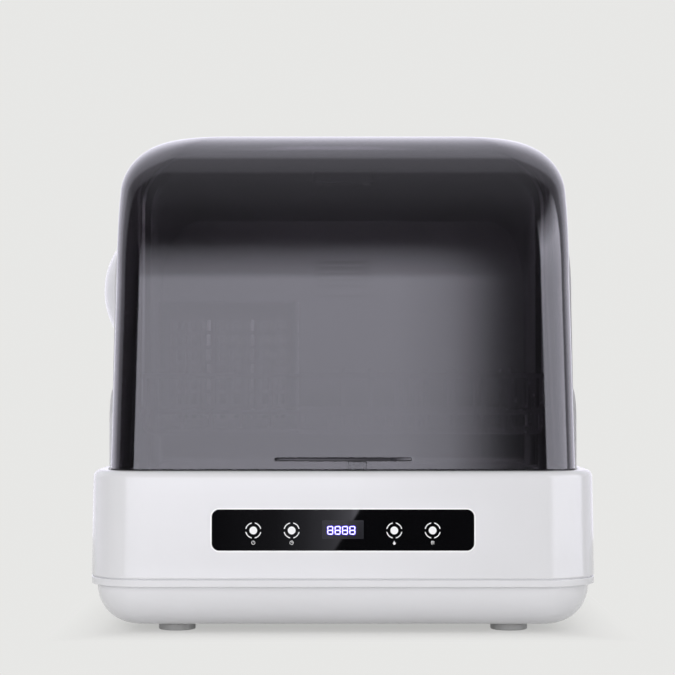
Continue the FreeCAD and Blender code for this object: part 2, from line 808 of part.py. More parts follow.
def sump_cup():
    centre = (sump_x, sump_y)
    cup = rod(sump_radius, (*centre, sump_bottom), Z_AXIS, tub_under - sump_bottom)
    cup = cup.makeFillet(8, edges_at(cup, sump_bottom))
    collar = rod(plate_radius, (*centre, tub_under - thin_wall), Z_AXIS, thin_wall)
    drain = rod(9, (sump_x + sump_radius - 6, drain_pump_y, drain_pump_z), X_AXIS, 12)
    wash = rod(13, (sump_x - sump_radius - 8, sump_y, wash_pump_z), X_AXIS, 14)
    cup = joined([cup, collar, drain, wash])
    inside = rod(sump_radius - thin_wall, (*centre, sump_bottom + thin_wall), Z_AXIS, 80)
    inside = inside.makeFillet(6, edges_at(inside, sump_bottom + thin_wall))
    cup = cup.cut(inside)
    cup = cup.cut(rod(6.5, (sump_x, drain_pump_y, drain_pump_z), X_AXIS, 90))
    cup = cup.cut(rod(10.5, (sump_x - 90, sump_y, wash_pump_z), X_AXIS, 90))
    seat = tube(micro_radius + 2, micro_radius - 3, (*centre, sump_bottom + thin_wall), Z_AXIS,
                micro_bottom - rest_gap - sump_bottom - thin_wall)
    for turn in range(4):
        slot = box((micro_radius - 8, micro_radius + 6), (-7, 7), (sump_bottom + 3, micro_bottom - 4))
        slot.rotate(V(0, 0, 0), Z_AXIS, 45 + 90 * turn)
        slot.translate(V(*centre, 0))
        seat = seat.cut(slot)
    return joined([cup, seat])


def filter_plate():
    """The perforated steel disc over the sump."""
    plate = rod(plate_radius, (sump_x, sump_y, tub_floor), Z_AXIS, plate_thickness)
    plate = plate.cut(rod(micro_radius + rest_gap, (sump_x, sump_y, 50), Z_AXIS, 90))
    holes = []
    for radius, count in ((31.0, 18), (37.5, 22)):
        for index in range(count):
            turn = 2 * math.pi * index / count
            place = (sump_x + radius * math.cos(turn), sump_y + radius * math.sin(turn), 50)
            holes.append(rod(2.0, place, Z_AXIS, 90))
    return plate.cut(Part.makeCompound(holes))


def micro_filter():
    """The fine filter cup that twists out of the sump."""
    centre = (sump_x, sump_y)
    top = tub_floor + plate_thickness + rest_gap
    cup = tube(micro_radius, micro_radius - 1.8, (*centre, micro_bottom), Z_AXIS, top - micro_bottom)
    foot = rod(micro_radius, (*centre, micro_bottom), Z_AXIS, 2)
    ring = tube(micro_flange, micro_radius - 1.8, (*centre, top), Z_AXIS, 1.6)
    grip = box((sump_x - micro_radius, sump_x + micro_radius), (sump_y - 3, sump_y + 3), (top, top + 7))
    grip = grip.makeFillet(1.5, edges_at(grip, top + 7))
    cup = joined([cup, foot, ring, grip])
    windows = []
    for level in range(3):
        for turn in range(8):
            window = box((micro_radius - 5, micro_radius + 5), (-5, 5),
                         (micro_bottom + 5 + 9 * level, micro_bottom + 12 + 9 * level))
            window.rotate(V(0, 0, 0), Z_AXIS, 45 * turn)
            window.translate(V(*centre, 0))
            windows.append(window)
    return cup.cut(Part.makeCompound(windows))


def heater_tube():
    """A round sheathed heater that goes down through the tub's floor at both ends."""
    circle = Part.Circle(V(heater_ring, 0, 0), Y_AXIS, heater_wire)
    face = Part.Face(Part.Wire(circle.toShape()))
    ring = face.revolve(V(0, 0, 0), Z_AXIS, 360 - 2 * heater_gap_deg)
    ring.rotate(V(0, 0, 0), Z_AXIS, 270 + heater_gap_deg)
    ring.translate(V(0, spray_y, heater_z))
    legs = []
    for x in heater_legs():
        legs.append(rod(heater_wire, (x, heater_leg_y(), 72), Z_AXIS, heater_z - 72))
        legs.append(Part.makeSphere(heater_wire, V(x, heater_leg_y(), heater_z)))
        legs.append(rod(2, (x, heater_leg_y(), 64), Z_AXIS, 9))
        legs.append(rod(7, (x, heater_leg_y(), tub_under - 3), Z_AXIS, 3))
    return joined([ring] + legs)


# Spray arm on its riser

riser_top = 122.0
riser_seat = 104.7
arm_low = 105.0
arm_high = 118.0
arm_reach = 122.0
arm_root = 22.0
arm_tip = 14.0
hub_top = 120.0
nut_height = 6.0


def spray_riser():
    riser = rod(riser_radius, (0, spray_y, tub_under - 12), Z_AXIS, riser_top - tub_under + 12)
    foot = rod(20, (0, spray_y, tub_floor), Z_AXIS, 2.5)
    seat = rod(riser_radius + 4, (0, spray_y, tub_floor), Z_AXIS, riser_seat - tub_floor)
    riser = joined([riser, foot, seat])
    riser = riser.cut(rod(riser_bore, (0, spray_y, 50), Z_AXIS, hub_top - 4 - 50))
    port_z = (arm_low + arm_high) / 2
    for turn in range(4):
        port = rod(3, (0, 0, port_z), X_AXIS, 30)
        port.rotate(V(0, 0, 0), Z_AXIS, 90 * turn)
        port.translate(V(0, spray_y, 0))
        riser = riser.cut(port)
    return riser


def blade(shrink, low, high):
    """One tapered half of the arm, or its inside."""
    root = arm_root - shrink
    tip = arm_tip - shrink
    points = [V(0, -root, low), V(arm_reach, -tip, low), V(arm_reach, tip, low), V(0, root, low)]
    body = Part.Face(Part.makePolygon(points + [points[0]])).extrude(V(0, 0, high - low))
    end = rod(tip, (arm_reach, 0, low), Z_AXIS, high - low)
    return joined([body, end])


def spray_arm():
    """A hollow two bladed arm with five jets on each blade."""
    halves = []
    hollow = []
    jets = []
    for turn in (0, 180):
        for shrink, low, high, group in ((0, arm_low, arm_high, halves),
                                         (2, arm_low + 2, arm_high - 2, hollow)):
            half = blade(shrink, low, high)
            half.rotate(V(0, 0, 0), Z_AXIS, turn + 18)
            group.append(half)
        for index in range(5):
            reach = 38 + 20 * index
            jet = rod(1.6, (reach, 3 * (index % 2) - 1.5, arm_high - 4), Z_AXIS, 8)
            jet.rotate(V(0, 0, 0), Z_AXIS, turn + 18)
            jets.append(jet)
    body = joined(halves)
    rounded = [edge for edge in edges_at(body, arm_high) if edge.Length > 10]
    body = body.makeFillet(1.9, rounded)
    hub = rod(arm_root, (0, 0, arm_low), Z_AXIS, hub_top - arm_low)
    arm = joined([body, hub])
    arm = arm.cut(joined(hollow).cut(rod(riser_radius + 2, (0, 0, 0), Z_AXIS, 200)))
    arm = arm.cut(rod(riser_radius + running_gap, (0, 0, 50), Z_AXIS, 100))
    arm = arm.cut(Part.makeCompound(jets))
    arm.translate(V(0, spray_y, 0))
    return arm


def spray_nut():
    nut = rod(18, (0, spray_y, hub_top + rest_gap), Z_AXIS, nut_height)
    nut = nut.makeFillet(1.5, edges_at(nut, hub_top + rest_gap + nut_height))
    return nut.cut(rod(riser_radius, (0, spray_y, hub_top - 5), Z_AXIS, riser_top - hub_top + 5))


# Hoses: straight runs joined by tangent arcs

def bent_path(points, bend):
    """A wire through points in millimetres with each corner rounded."""
    corners = [V(*point) for point in points]
    edges = []
    start = corners[0]
    for index in range(1, len(corners) - 1):
        before, corner, after = corners[index - 1:index + 2]
        into = (corner - before).normalize()
        away = (after - corner).normalize()
        half_turn = into.getAngle(away) / 2
        back_off = bend * math.tan(half_turn)
        arc_start = corner - into * back_off
        arc_end = corner + away * back_off
        inward = (away - into).normalize()
        middle = corner + inward * (bend / math.cos(half_turn) - bend)
        edges.append(Part.makeLine(start, arc_start))
        edges.append(Part.Arc(arc_start, middle, arc_end).toShape())
        start = arc_end
    edges.append(Part.makeLine(start, corners[-1]))
    return Part.Wire(edges)


def hose(points, bend, outer=hose_radius, bore=hose_bore):
    """A bent hose with its bore."""
    path = bent_path(points, bend)
    direction = V(*points[1]) - V(*points[0])
    tubes = []
    for radius in (outer, bore):
        ring = Part.Wire(Part.Circle(V(*points[0]), direction, radius).toShape())
        tubes.append(path.makePipeShell([ring], True, False))
    return tubes[0].cut(tubes[1])


# Wash pump: volute, impeller on its shaft, and motor

volute_start = 12.0
volute_length = 26.0
volute_radius = 30.0
volute_bore = 26.0
pump_shaft = 4.0
pump_motor_radius = 27.0
pump_motor_length = 72.0
pump_outlet_y = sump_y - 36.0
pump_centre = (sump_y, wash_pump_z - 8)


def wash_pump_housing():
    y, z = pump_centre
    body = rod(volute_radius, (volute_start, y, z), X_AXIS, volute_length)
    neck_length = sump_x - sump_radius - 8 - volute_start - volute_length
    neck = rod(13, (volute_start + volute_length, sump_y, wash_pump_z), X_AXIS, neck_length)
    middle = volute_start + volute_length / 2
    outlet = rod(11, (middle, pump_outlet_y, z), Y_AXIS, 20)
    foot = box((volute_start + 3, volute_start + volute_length - 3), (y - 16, y + 16),
               (pan_floor, z - volute_radius + 4))
    body = joined([body, neck, outlet, foot])
    body = body.cut(rod(volute_bore, (volute_start + 3, y, z), X_AXIS, volute_length - 6))
    body = body.cut(rod(10.5, (volute_start + volute_length - 4, sump_y, wash_pump_z), X_AXIS, 40))
    body = body.cut(rod(8.5, (middle, pump_outlet_y - 1, z), Y_AXIS, 20))
    return body.cut(rod(pump_shaft + running_gap, (volute_start - 1, y, z), X_AXIS, 6))


def wash_pump_motor():
    y, z = pump_centre
    start = volute_start - pump_motor_length
    body = rod(pump_motor_radius, (start, y, z), X_AXIS, pump_motor_length)
    body = body.makeFillet(3, [edge for edge in body.Edges if edge.BoundBox.XMax < start + 0.1])
    foot = box((start + 12, start + 44), (y - 16, y + 16), (pan_floor, z - pump_motor_radius + 4))
    body = joined([body, foot])
    return body.cut(rod(pump_shaft + running_gap, (volute_start - 22, y, z), X_AXIS, 30))


def bladed_wheel(radius, disc_start, disc_thickness, blade_height, count, hub_radius):
    """A disc across the X axis with radial blades on its far side."""
    parts = [rod(radius, (disc_start, 0, 0), X_AXIS, disc_thickness)]
    parts.append(rod(hub_radius, (disc_start, 0, 0), X_AXIS, disc_thickness + blade_height))
    for index in range(count):
        vane = box((disc_start + disc_thickness - 0.5, disc_start + disc_thickness + blade_height),
                   (-0.9, 0.9), (hub_radius - 1, radius - 1))
        vane.rotate(V(0, 0, 0), X_AXIS, 360.0 * index / count)
        parts.append(vane)
    return joined(parts)


def wash_impeller():
    y, z = pump_centre
    wheel = bladed_wheel(volute_bore - 3, volute_start + 5, 2.5, 8, 6, 7)
    shaft = rod(pump_shaft, (volute_start - 20, 0, 0), X_AXIS, 28)
    wheel = joined([wheel, shaft])
    wheel.translate(V(0, y, z))
    return wheel


def riser_hose():
    """From the wash pump up to the spray riser's foot."""
    middle = volute_start + volute_length / 2
    z = pump_centre[1]
    points = [(middle, pump_outlet_y, z), (middle, pump_outlet_y - 16, z),
              (0, spray_y, z), (0, spray_y, tub_under - 12)]
    return hose(points, 10, 11, 8.5)


# Drain pump: volute, impeller and motor, with its hose to the side spigot

drain_volute_radius = 19.0
drain_motor_radius = 16.0
drain_volute_start = sump_x + sump_radius + 6.0
drain_volute_length = 16.0
drain_motor_length = 30.0


def drain_pump_housing():
    body = rod(drain_volute_radius, (drain_volute_start, drain_pump_y, drain_pump_z), X_AXIS,
               drain_volute_length)
    outlet_x = drain_volute_start + drain_volute_length / 2
    outlet = rod(hose_radius, (outlet_x, drain_pump_y + 12, drain_pump_z), Y_AXIS, 12)
    foot = box((drain_volute_start + 2, drain_volute_start + drain_volute_length - 2),
               (drain_pump_y - 10, drain_pump_y + 10), (pan_floor, drain_pump_z - drain_volute_radius + 3))
    body = joined([body, outlet, foot])
    body = body.cut(rod(drain_volute_radius - 3, (drain_volute_start + 2.5, drain_pump_y, drain_pump_z),
                        X_AXIS, drain_volute_length - 5))
    body = body.cut(rod(6.5, (drain_volute_start - 1, drain_pump_y, drain_pump_z), X_AXIS, 6))
    body = body.cut(rod(hose_bore, (outlet_x, drain_pump_y + 14, drain_pump_z), Y_AXIS, 12))
    return body.cut(rod(2.5 + running_gap, (drain_volute_start + drain_volute_length - 4,
                                            drain_pump_y, drain_pump_z), X_AXIS, 6))


def drain_pump_motor():
    start = drain_volute_start + drain_volute_length
    body = rod(drain_motor_radius, (start, drain_pump_y, drain_pump_z), X_AXIS, drain_motor_length)
    return body.cut(rod(2.5 + running_gap, (start - 1, drain_pump_y, drain_pump_z), X_AXIS, 13))


def drain_impeller():
    wheel = bladed_wheel(12.5, 0, 2, 4.5, 4, 4)
    shaft = rod(2.5, (-16, 0, 0), X_AXIS, 18)
    wheel = joined([wheel, shaft])
    wheel.rotate(V(0, 0, 0), Z_AXIS, 180)
    wheel.translate(V(drain_volute_start + drain_volute_length - 4, drain_pump_y, drain_pump_z))
    return wheel


def drain_spigot():
    """The outlet stub on the right side, with a flange inside the wall and a hose barb."""
    inner = base_half_width - 12
    start = base_half_width + spigot_step
    spigot = rod(drain_radius, (start, drain_y, drain_z), X_AXIS, outer_reach_x - start)
    neck = rod(drain_radius - spigot_step, (inner, drain_y, drain_z), X_AXIS, start - inner)
    face = base_half_width - wall - 1.0
    flange = rod(15, (face - 2.5, drain_y, drain_z), X_AXIS, 2.5)
    spigot = joined([spigot, neck, flange])
    return spigot.cut(rod(6.5, (inner - 1, drain_y, drain_z), X_AXIS, 40))


def drain_hose():
    outlet_x = drain_volute_start + drain_volute_length / 2
    points = [(outlet_x, drain_pump_y + 24, drain_pump_z), (outlet_x, drain_y, drain_pump_z),
              (outlet_x + 16, drain_y, drain_z), (base_half_width - 12, drain_y, drain_z)]
    return hose(points, 12)


# Water inlet and mains inlet

def inlet_valve():
    """The water inlet valve; its spigot has a 3/4 inch outside diameter."""
    body = box((inlet_x - 18, inlet_x + 18), (132, 162), (inlet_z - 16, inlet_z + 16))
    body = body.makeFillet(3, body.Edges)
    back = base_back - base_draft - wall + 1.0
    start = base_back + spigot_step
    stem = rod(inlet_radius, (inlet_x, start, inlet_z), Y_AXIS, outer_reach_y - start)
    neck = rod(inlet_radius - spigot_step, (inlet_x, 155, inlet_z), Y_AXIS, start - 155)
    flange = rod(20, (inlet_x, 160, inlet_z), Y_AXIS, back - 160 - 1)
    coil = rod(11, (inlet_x + 17, 147, inlet_z), X_AXIS, 14)
    outlet = rod(hose_radius, (inlet_x, 147, inlet_z - 24), Z_AXIS, 12)
    valve = joined([body, stem, neck, flange, coil, outlet])
    valve = valve.cut(rod(9, (inlet_x, 175, inlet_z), Y_AXIS, 30))
    return valve.cut(rod(hose_bore, (inlet_x, 147, inlet_z - 25), Z_AXIS, 12))


def inlet_hose():
    x, y = tub_inlet
    points = [(inlet_x, 147, inlet_z - 24), (inlet_x, 147, 36), (x, y, 36), (x, y, tub_under - 8)]
    return hose(points, 15)


def mains_inlet():
    """The recessed three pin inlet for a detachable lead."""
    body = box((mains_x - mains_half_width, mains_x + mains_half_width), (146, base_back - 0.5),
               (mains_z - mains_half_height, mains_z + mains_half_height))
    flange = box((mains_x - mains_half_width - 6, mains_x + mains_half_width + 6), (168.5, 171.5),
                 (mains_z - mains_half_height - 2, mains_z + mains_half_height + 2))
    socket = joined([body, flange])
    socket = socket.cut(box((mains_x - mains_half_width + 2.5, mains_x + mains_half_width - 2.5),
                            (157, 200), (mains_z - mains_half_height + 2.5,
                                         mains_z + mains_half_height - 2.5)))
    pins = [box((mains_x + dx - 1, mains_x + dx + 1), (150, 171), (mains_z + dz - 2, mains_z + dz + 2))
            for dx, dz in ((-7, -1), (0, 2), (7, -1))]
    return joined([socket] + pins)


board_x = (-172.0, -92.0)
board_y = (-132.0, -42.0)
board_z = 24.0


def board_posts():
    return [(x, y) for x in (board_x[0] + 6, board_x[1] - 6) for y in (board_y[0] + 6, board_y[1] - 6)]


def power_board():
    plate = box(board_x, board_y, (board_z, board_z + 1.6))
    top = board_z + 1.6
    tall = [
        box((-166, -138), (-110, -74), (top, top + 26)),
        box((-132, -112), (-122, -100), (top, top + 18)),
        box((-132, -112), (-94, -72), (top, top + 18)),
        rod(9, (-104, -64, top), Z_AXIS, 30),
        rod(9, (-124, -60, top), Z_AXIS, 30),
    ]
    posts = [rod(3.5, (x, y, pan_floor), Z_AXIS, board_z - pan_floor) for x, y in board_posts()]
    return joined([plate] + tall + posts)


# Rear cover, blower and air heater behind the liner

cover_half_width = 108.0
cover_low = 150.0
cover_high = 286.0
cover_lip = 8.0
cover_thickness = 2.5
cover_screw_x = cover_half_width - 4.0
cover_screw_z = (cover_low + 4.0, cover_high - 4.0)
dome_back = hinge_y + dome_radius
blower_x = 0.0
blower_z = 222.0
blower_radius = 36.0
blower_start = liner_back + thin_wall
blower_depth = 24.0
blower_shaft = 2.5
duct_half_width = 24.0


def finished_rear_housing():
    """The dome with its service opening and the posts for the cover's screws."""
    shell = rear_housing()
    shell = shell.cut(upright_plate((-cover_half_width + cover_lip, cover_half_width - cover_lip),
                                    (cover_low + cover_lip, cover_high - cover_lip),
                                    (dome_back - wall - 2, dome_back + 2), 6))
    posts = []
    for x in (-cover_screw_x, cover_screw_x):
        for z in cover_screw_z:
            posts.append(rod(4.5, (x, dome_back - wall - 8, z), Y_AXIS, 9))
    shell = joined([shell] + posts)
    for x in (-cover_screw_x, cover_screw_x):
        for z in cover_screw_z:
            start = (x, dome_back - wall - 6, z)
            shell = shell.cut(rod(screw_radius + running_gap, start, Y_AXIS, 20))
    return shell


def rear_cover():
    """A flat cover with cooling slots and a lip that locates it in the opening."""
    plate = upright_plate((-cover_half_width, cover_half_width), (cover_low, cover_high),
                          (dome_back, dome_back + cover_thickness), 8)
    inner = cover_lip + 0.3
    lip = upright_plate((-cover_half_width + inner, cover_half_width - inner),
                        (cover_low + inner, cover_high - inner), (dome_back - wall, dome_back + 1), 5.7)
    lip = lip.cut(upright_plate((-cover_half_width + inner + 2, cover_half_width - inner - 2),
                                (cover_low + inner + 2, cover_high - inner - 2),
                                (dome_back - wall - 1, dome_back), 4))
    cover = joined([plate, lip])
    slots = []
    for side in (-1, 1):
        for index in range(9):
            z = cover_low + 28 + 10 * index
            x = sorted((side * 20, side * 78))
            slots.append(upright_plate(x, (z, z + 3.6), (dome_back - 5, dome_back + 9), 1.7))
    for x in (-cover_screw_x, cover_screw_x):
        for z in cover_screw_z:
            slots.append(rod(screw_radius + 0.2, (x, dome_back - 5, z), Y_AXIS, 20))
    return cover.cut(Part.makeCompound(slots))


def cover_screws():
    back = V(0, -1, 0)
    return [screw(x, dome_back + cover_thickness, z, 7, back)
            for x in (-cover_screw_x, cover_screw_x) for z in cover_screw_z]


def blower_housing():
    """A flat snail with a duct up to the vent in the liner's back wall."""
    y = (blower_start, blower_start + blower_depth)
    snail = rod(blower_radius, (blower_x, y[0], blower_z), Y_AXIS, blower_depth)
    duct = box((-duct_half_width, duct_half_width), y, (blower_z, grille_high))
    mouth = box((-grille_half_width - 3, grille_half_width + 3), y, (grille_low - 4, grille_high + 3))
    body = joined([snail, duct, mouth])
    skin = 2.0
    inside = rod(blower_radius - skin, (blower_x, y[0] + skin, blower_z), Y_AXIS, blower_depth - 2 * skin)
    channel = box((-duct_half_width + skin, duct_half_width - skin), (y[0] + skin, y[1] - skin),
                  (blower_z, grille_high + 3 - skin))
    outlet = box((-grille_half_width, grille_half_width), (y[0] - 1, y[1] - skin),
                 (grille_low, grille_high))
    body = body.cut(inside).cut(channel).cut(outlet)
    return body.cut(rod(14, (blower_x, y[1] - skin - 1, blower_z), Y_AXIS, 5))


def blower_motor():
    """The motor sits in the middle of the snail's back and holds the wheel's shaft."""
    end = blower_start + blower_depth
    body = rod(13.5, (blower_x, end - 4, blower_z), Y_AXIS, 13)
    flange = tube(20, 13, (blower_x, end, blower_z), Y_AXIS, 2)
    motor = joined([body, flange])
    return motor.cut(rod(blower_shaft + running_gap, (blower_x, end - 5, blower_z), Y_AXIS, 10))


def blower_wheel():
    wheel = bladed_wheel(blower_radius - 8, 0, 1.6, 9, 12, 6)
    wheel = joined([wheel, rod(blower_shaft, (0, 0, 0), X_AXIS, 23)])
    wheel.rotate(V(0, 0, 0), Z_AXIS, 90)
    wheel.translate(V(blower_x, blower_start + 4, blower_z))
    return wheel


def air_heater():
    """A block of heating fins across the duct."""
    low = blower_z + blower_radius + 6
    x = (-duct_half_width + 2, duct_half_width - 2)
    y = (blower_start + 2, blower_start + blower_depth - 2)
    block = box(x, y, (low, low + 16))
    slots = []
    for index in range(9):
        left = x[0] + 3.2 + 4.4 * index
        slots.append(box((left, left + 2.4), (y[0] + 2, y[1] - 2), (low - 1, low + 17)))
    return block.cut(Part.makeCompound(slots))


# Dish rack, its tines and feet, and the cutlery basket

wire = 1.7
frame_wire = 2.3
wire_bend = 5.0
rack_half_width = 175.0
rack_front = -160.0
rack_back = 113.0
rack_front_corner = 26.0
rack_back_corner = 50.0
rack_top = 218.0
rack_middle = 187.0
rack_floor = 171.8
weld_depth = 0.3
weld_offset = frame_wire - 0.6
cross_level = rack_floor - 2 * wire + weld_depth
wire_pitch = 25.0
floor_wires = 14
tall_wires = (0, 4, 9, 13)
cross_y = (-120.0, -62.0, -10.0, 40.0, 84.0)
tine_rows = (-62.0, 40.0)
tine_count = 7
tine_height = 54.0
rack_foot_radius = 4.5
rack_foot_y = (-104.0, 22.0)
rack_foot_x = rack_half_width + 1.0


def wire_along(path, radius):
    """A round wire swept along a path."""
    first = path.OrderedEdges[0]
    point = first.valueAt(first.FirstParameter)
    heading = first.tangentAt(first.FirstParameter)
    ring = Part.Wire(Part.Circle(point, heading, radius).toShape())
    return path.makePipeShell([ring], True, False)


def wire_loop(height):
    """A closed frame wire round the rack."""
    path = rounded_wire((-rack_half_width + frame_wire, rack_half_width - frame_wire),
                        (rack_front + frame_wire, rack_back - frame_wire), height,
                        rack_front_corner - frame_wire, rack_back_corner - frame_wire)
    return wire_along(path, frame_wire)


def loop_y(x, front):
    """Where the loops' centre line lies at one x, on the front or the back run."""
    corner = (rack_front_corner if front else rack_back_corner) - frame_wire
    run = rack_front + frame_wire if front else rack_back - frame_wire
    inward = 1 if front else -1
    past = abs(x) - (rack_half_width - frame_wire - corner)
    if past <= 0:
        return run
    return run + inward * (corner - math.sqrt(corner ** 2 - past ** 2))


def side_limit(y):
    """Half the width between the loops' centre lines at one y."""
    corner = rack_back_corner - frame_wire
    past = y - (rack_back - frame_wire - corner)
    inset = corner - math.sqrt(corner ** 2 - past ** 2) if past > 0 else 0
    return rack_half_width - frame_wire - inset


def dish_rack():
    """The two round cornered loops that frame the rack."""
    return [wire_loop(rack_middle), wire_loop(rack_top)]


def standing_wire(first, last, level, tall):
    """A straight floor wire, an upright at each end, and posts to the top loop where it is tall."""
    along = (V(last[0] - first[0], last[1] - first[1], 0)).normalize()
    start = V(first[0], first[1], level)
    end = V(last[0], last[1], level)
    run = wire_bend + 0.5
    length = (end - start).Length - 2 * run
    solids = [rod(wire, tuple(start + along * run), along, length)]
    for foot, inward in ((start, along), (end, -along)):
        knee = foot + inward * run
        tip = (foot.x, foot.y, rack_middle - weld_offset)
        path = bent_path([tuple(knee), tuple(foot), tip], wire_bend)
        solids.append(wire_along(path, wire))
        if tall:
            post = (foot.x, foot.y, rack_middle + weld_offset)
            solids.append(rod(wire, post, Z_AXIS, rack_top - rack_middle - 2 * weld_offset))
    return solids


def long_wires():
    """Floor wires that run from front to back and rise to the loops."""
    solids = []
    for index in range(floor_wires):
        x = (index - (floor_wires - 1) / 2) * wire_pitch
        ends = ((x, loop_y(x, True)), (x, loop_y(x, False)))
        solids += standing_wire(*ends, rack_floor, index in tall_wires)
    return solids


def cross_wires():
    """Five wires under the floor wires, from side to side, that carry both loops."""
    solids = []
    for y in cross_y:
        reach = side_limit(y)
        solids += standing_wire((-reach, y), (reach, y), cross_level, True)
    return solids


def plate_tines():
    """Two rows of round topped pins on the cross wires, right of the middle."""
    pins = []
    for y in tine_rows:
        for index in range(tine_count):
            x = index * wire_pitch
            low = cross_level + wire - weld_depth
            pin = rod(wire, (x, y, low), Z_AXIS, tine_height)
            pins.append(pin.fuse(Part.makeSphere(wire, V(x, y, low + tine_height))).removeSplitter())
    return pins


def rack_feet():
    """Plastic feet clipped round the middle loop; they stand on the tub's ledge."""
    loop = wire_loop(rack_middle)
    result = []
    for side in (-1, 1):
        for y in rack_foot_y:
            low = shoulder_under + rest_gap
            foot = rod(rack_foot_radius, (side * rack_foot_x, y, low), Z_AXIS, rack_middle + 4 - low)
            foot = foot.makeFillet(1.2, edges_at(foot, low))
            result.append(foot.cut(loop))
    return result


basket_x = (-158.2, -39.2)
basket_y = (-154.0, -84.0)
basket_low = rack_floor + wire + rest_gap
basket_top = 281.0
basket_wall = 2.0
basket_hole = 9.4
basket_pitch = 12.6
basket_rows = 7
basket_columns = 8
basket_ribs = 5
basket_corner = 8.0
partition_half = 0.8
partition_drop = 12.0


def square_holes(across, centres, levels, wall_low):
    """Square holes through a wall; across is X for front and back walls, Y for side walls."""
    half = basket_hole / 2
    holes = []
    for centre in centres:
        for level in levels:
            spread = (centre - half, centre + half)
            depth = (wall_low - 1, wall_low + basket_wall + 1)
            height = (level, level + basket_hole)
            if across == "x":
                holes.append(box(spread, depth, height))
            else:
                holes.append(box(depth, spread, height))
    return Part.makeCompound(holes)


def spaced(middle, count):
    return [middle + (index - (count - 1) / 2) * basket_pitch for index in range(count)]


def cutlery_basket():
    """Plates with square holes, round corner posts, a floor and two partitions, welded edge to edge."""
    left, right = basket_x
    front, back = basket_y
    columns = spaced((left + right) / 2, basket_columns)
    depths = spaced((front + back) / 2, basket_ribs)
    floor_top = basket_low + basket_wall
    levels = [basket_low + 7.0 + row * basket_pitch for row in range(basket_rows)]
    height = (floor_top, basket_top)
    solids = []
    for low in (front, back - basket_wall):
        plate = box((left + basket_corner, right - basket_corner), (low, low + basket_wall), height)
        solids.append(plate.cut(square_holes("x", columns, levels, low)))
    for low in (left, right - basket_wall):
        plate = box((low, low + basket_wall), (front + basket_corner, back - basket_corner), height)
        solids.append(plate.cut(square_holes("y", depths, levels, low)))
    shell = slab(basket_x, basket_y, height, basket_corner)
    shell = shell.cut(slab((left + basket_wall, right - basket_wall),
                           (front + basket_wall, back - basket_wall), (floor_top - 1, basket_top + 1),
                           basket_corner - basket_wall))
    for corner_x in ((left, left + basket_corner), (right - basket_corner, right)):
        for corner_y in ((front, front + basket_corner), (back - basket_corner, back)):
            solids.append(shell.common(box(corner_x, corner_y, height)))
    floor = slab(basket_x, basket_y, (basket_low, floor_top), basket_corner)
    splits = [(left + right) / 2 + part * 1.5 * basket_pitch for part in (-1, 1)]
    half = basket_hole / 2
    drains = [box((x - half, x + half), (y - half, y + half), (basket_low - 1, floor_top + 1))
              for x in columns for y in depths
              if min(abs(x - split) for split in splits) > half + partition_half]
    solids.append(floor.cut(Part.makeCompound(drains)))
    for split in splits:
        solids.append(box((split - partition_half, split + partition_half),
                          (front + basket_wall, back - basket_wall),
                          (floor_top, basket_top - partition_drop)))
    return solids


# Write every node

def write_all():
    save("base_pan", base_pan())
    save("rubber_feet", rubber_feet())
    save("base_housing", base_housing())
    save("case_screws", case_screws() + foot_screws() + cover_screws())
    save("panel_bezel", panel_bezel())
    save("control_glass", control_glass())
    save("control_board", control_board())
    save("board_screws", board_screws())
    save("display_module", display_module())
    save("touch_springs", touch_springs())
    save("wash_tub", wash_tub())
    save("sump_cup", sump_cup())
    save("filter_plate", filter_plate())
    save("micro_filter", micro_filter())
    save("heater_tube", heater_tube())
    save("spray_riser", spray_riser())
    save("spray_arm", spray_arm())
    save("spray_nut", spray_nut())
    save("wash_pump_housing", wash_pump_housing())
    save("wash_pump_motor", wash_pump_motor())
    save("wash_impeller", wash_impeller())
    save("riser_hose", riser_hose())
    save("drain_pump_housing", drain_pump_housing())
    save("drain_pump_motor", drain_pump_motor())
    save("drain_impeller", drain_impeller())
    save("drain_spigot", drain_spigot())
    save("drain_hose", drain_hose())
    save("inlet_valve", inlet_valve())
    save("inlet_hose", inlet_hose())
    save("mains_inlet", mains_inlet())
    save("power_board", power_board())
    save("rear_housing", finished_rear_housing())
    save("rear_cover", rear_cover())
    save("blower_housing", blower_housing())
    save("blower_motor", blower_motor())
    save("blower_wheel", blower_wheel())
    save("air_heater", air_heater())
    save("chamber_liner", chamber_liner())
    save("chamber_seal", chamber_seal())
    save("vent_grille", vent_grille())
    save("lamp_lens", lamp_lens())
    save("lamp_board", lamp_board())
    save("lid_shell", lid_shell())
    save("lid_handle", lid_handle())
    save("lid_catch", lid_catch())
    save("lid_magnet", lid_magnet())
    save("lid_gasket", lid_gasket())
    save("lid_switch", lid_switch())
    save("hinge_arms", both_sides(hinge_arm()))
    save("hinge_pins", hinge_pins())
    save("hinge_bushes", hinge_bushes())
    save("lid_damper", lid_damper())
    save("damper_cap", damper_cap())
    save("hinge_cap_right", hinge_cap_right())
    save("dish_rack", dish_rack())
    save("long_wires", long_wires())
    save("cross_wires", cross_wires())
    save("plate_tines", plate_tines())
    save("rack_feet", rack_feet())
    save("cutlery_basket", cutlery_basket())


write_all()
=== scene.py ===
# %% [markdown]
# # A countertop dishwasher
#
# The machine has three large forms: a low white base with a black touch panel, a smoked lid that
# turns about two hinge arms, and a white housing behind the lid. This lesson dresses the measured
# parts with smooth skins, finishes and light. Every length is in metres, with X to the right, Y to
# the back and Z up.

# %% Load the measured parts
import json
import math

import bmesh
import bpy
from mathutils import Matrix, Vector


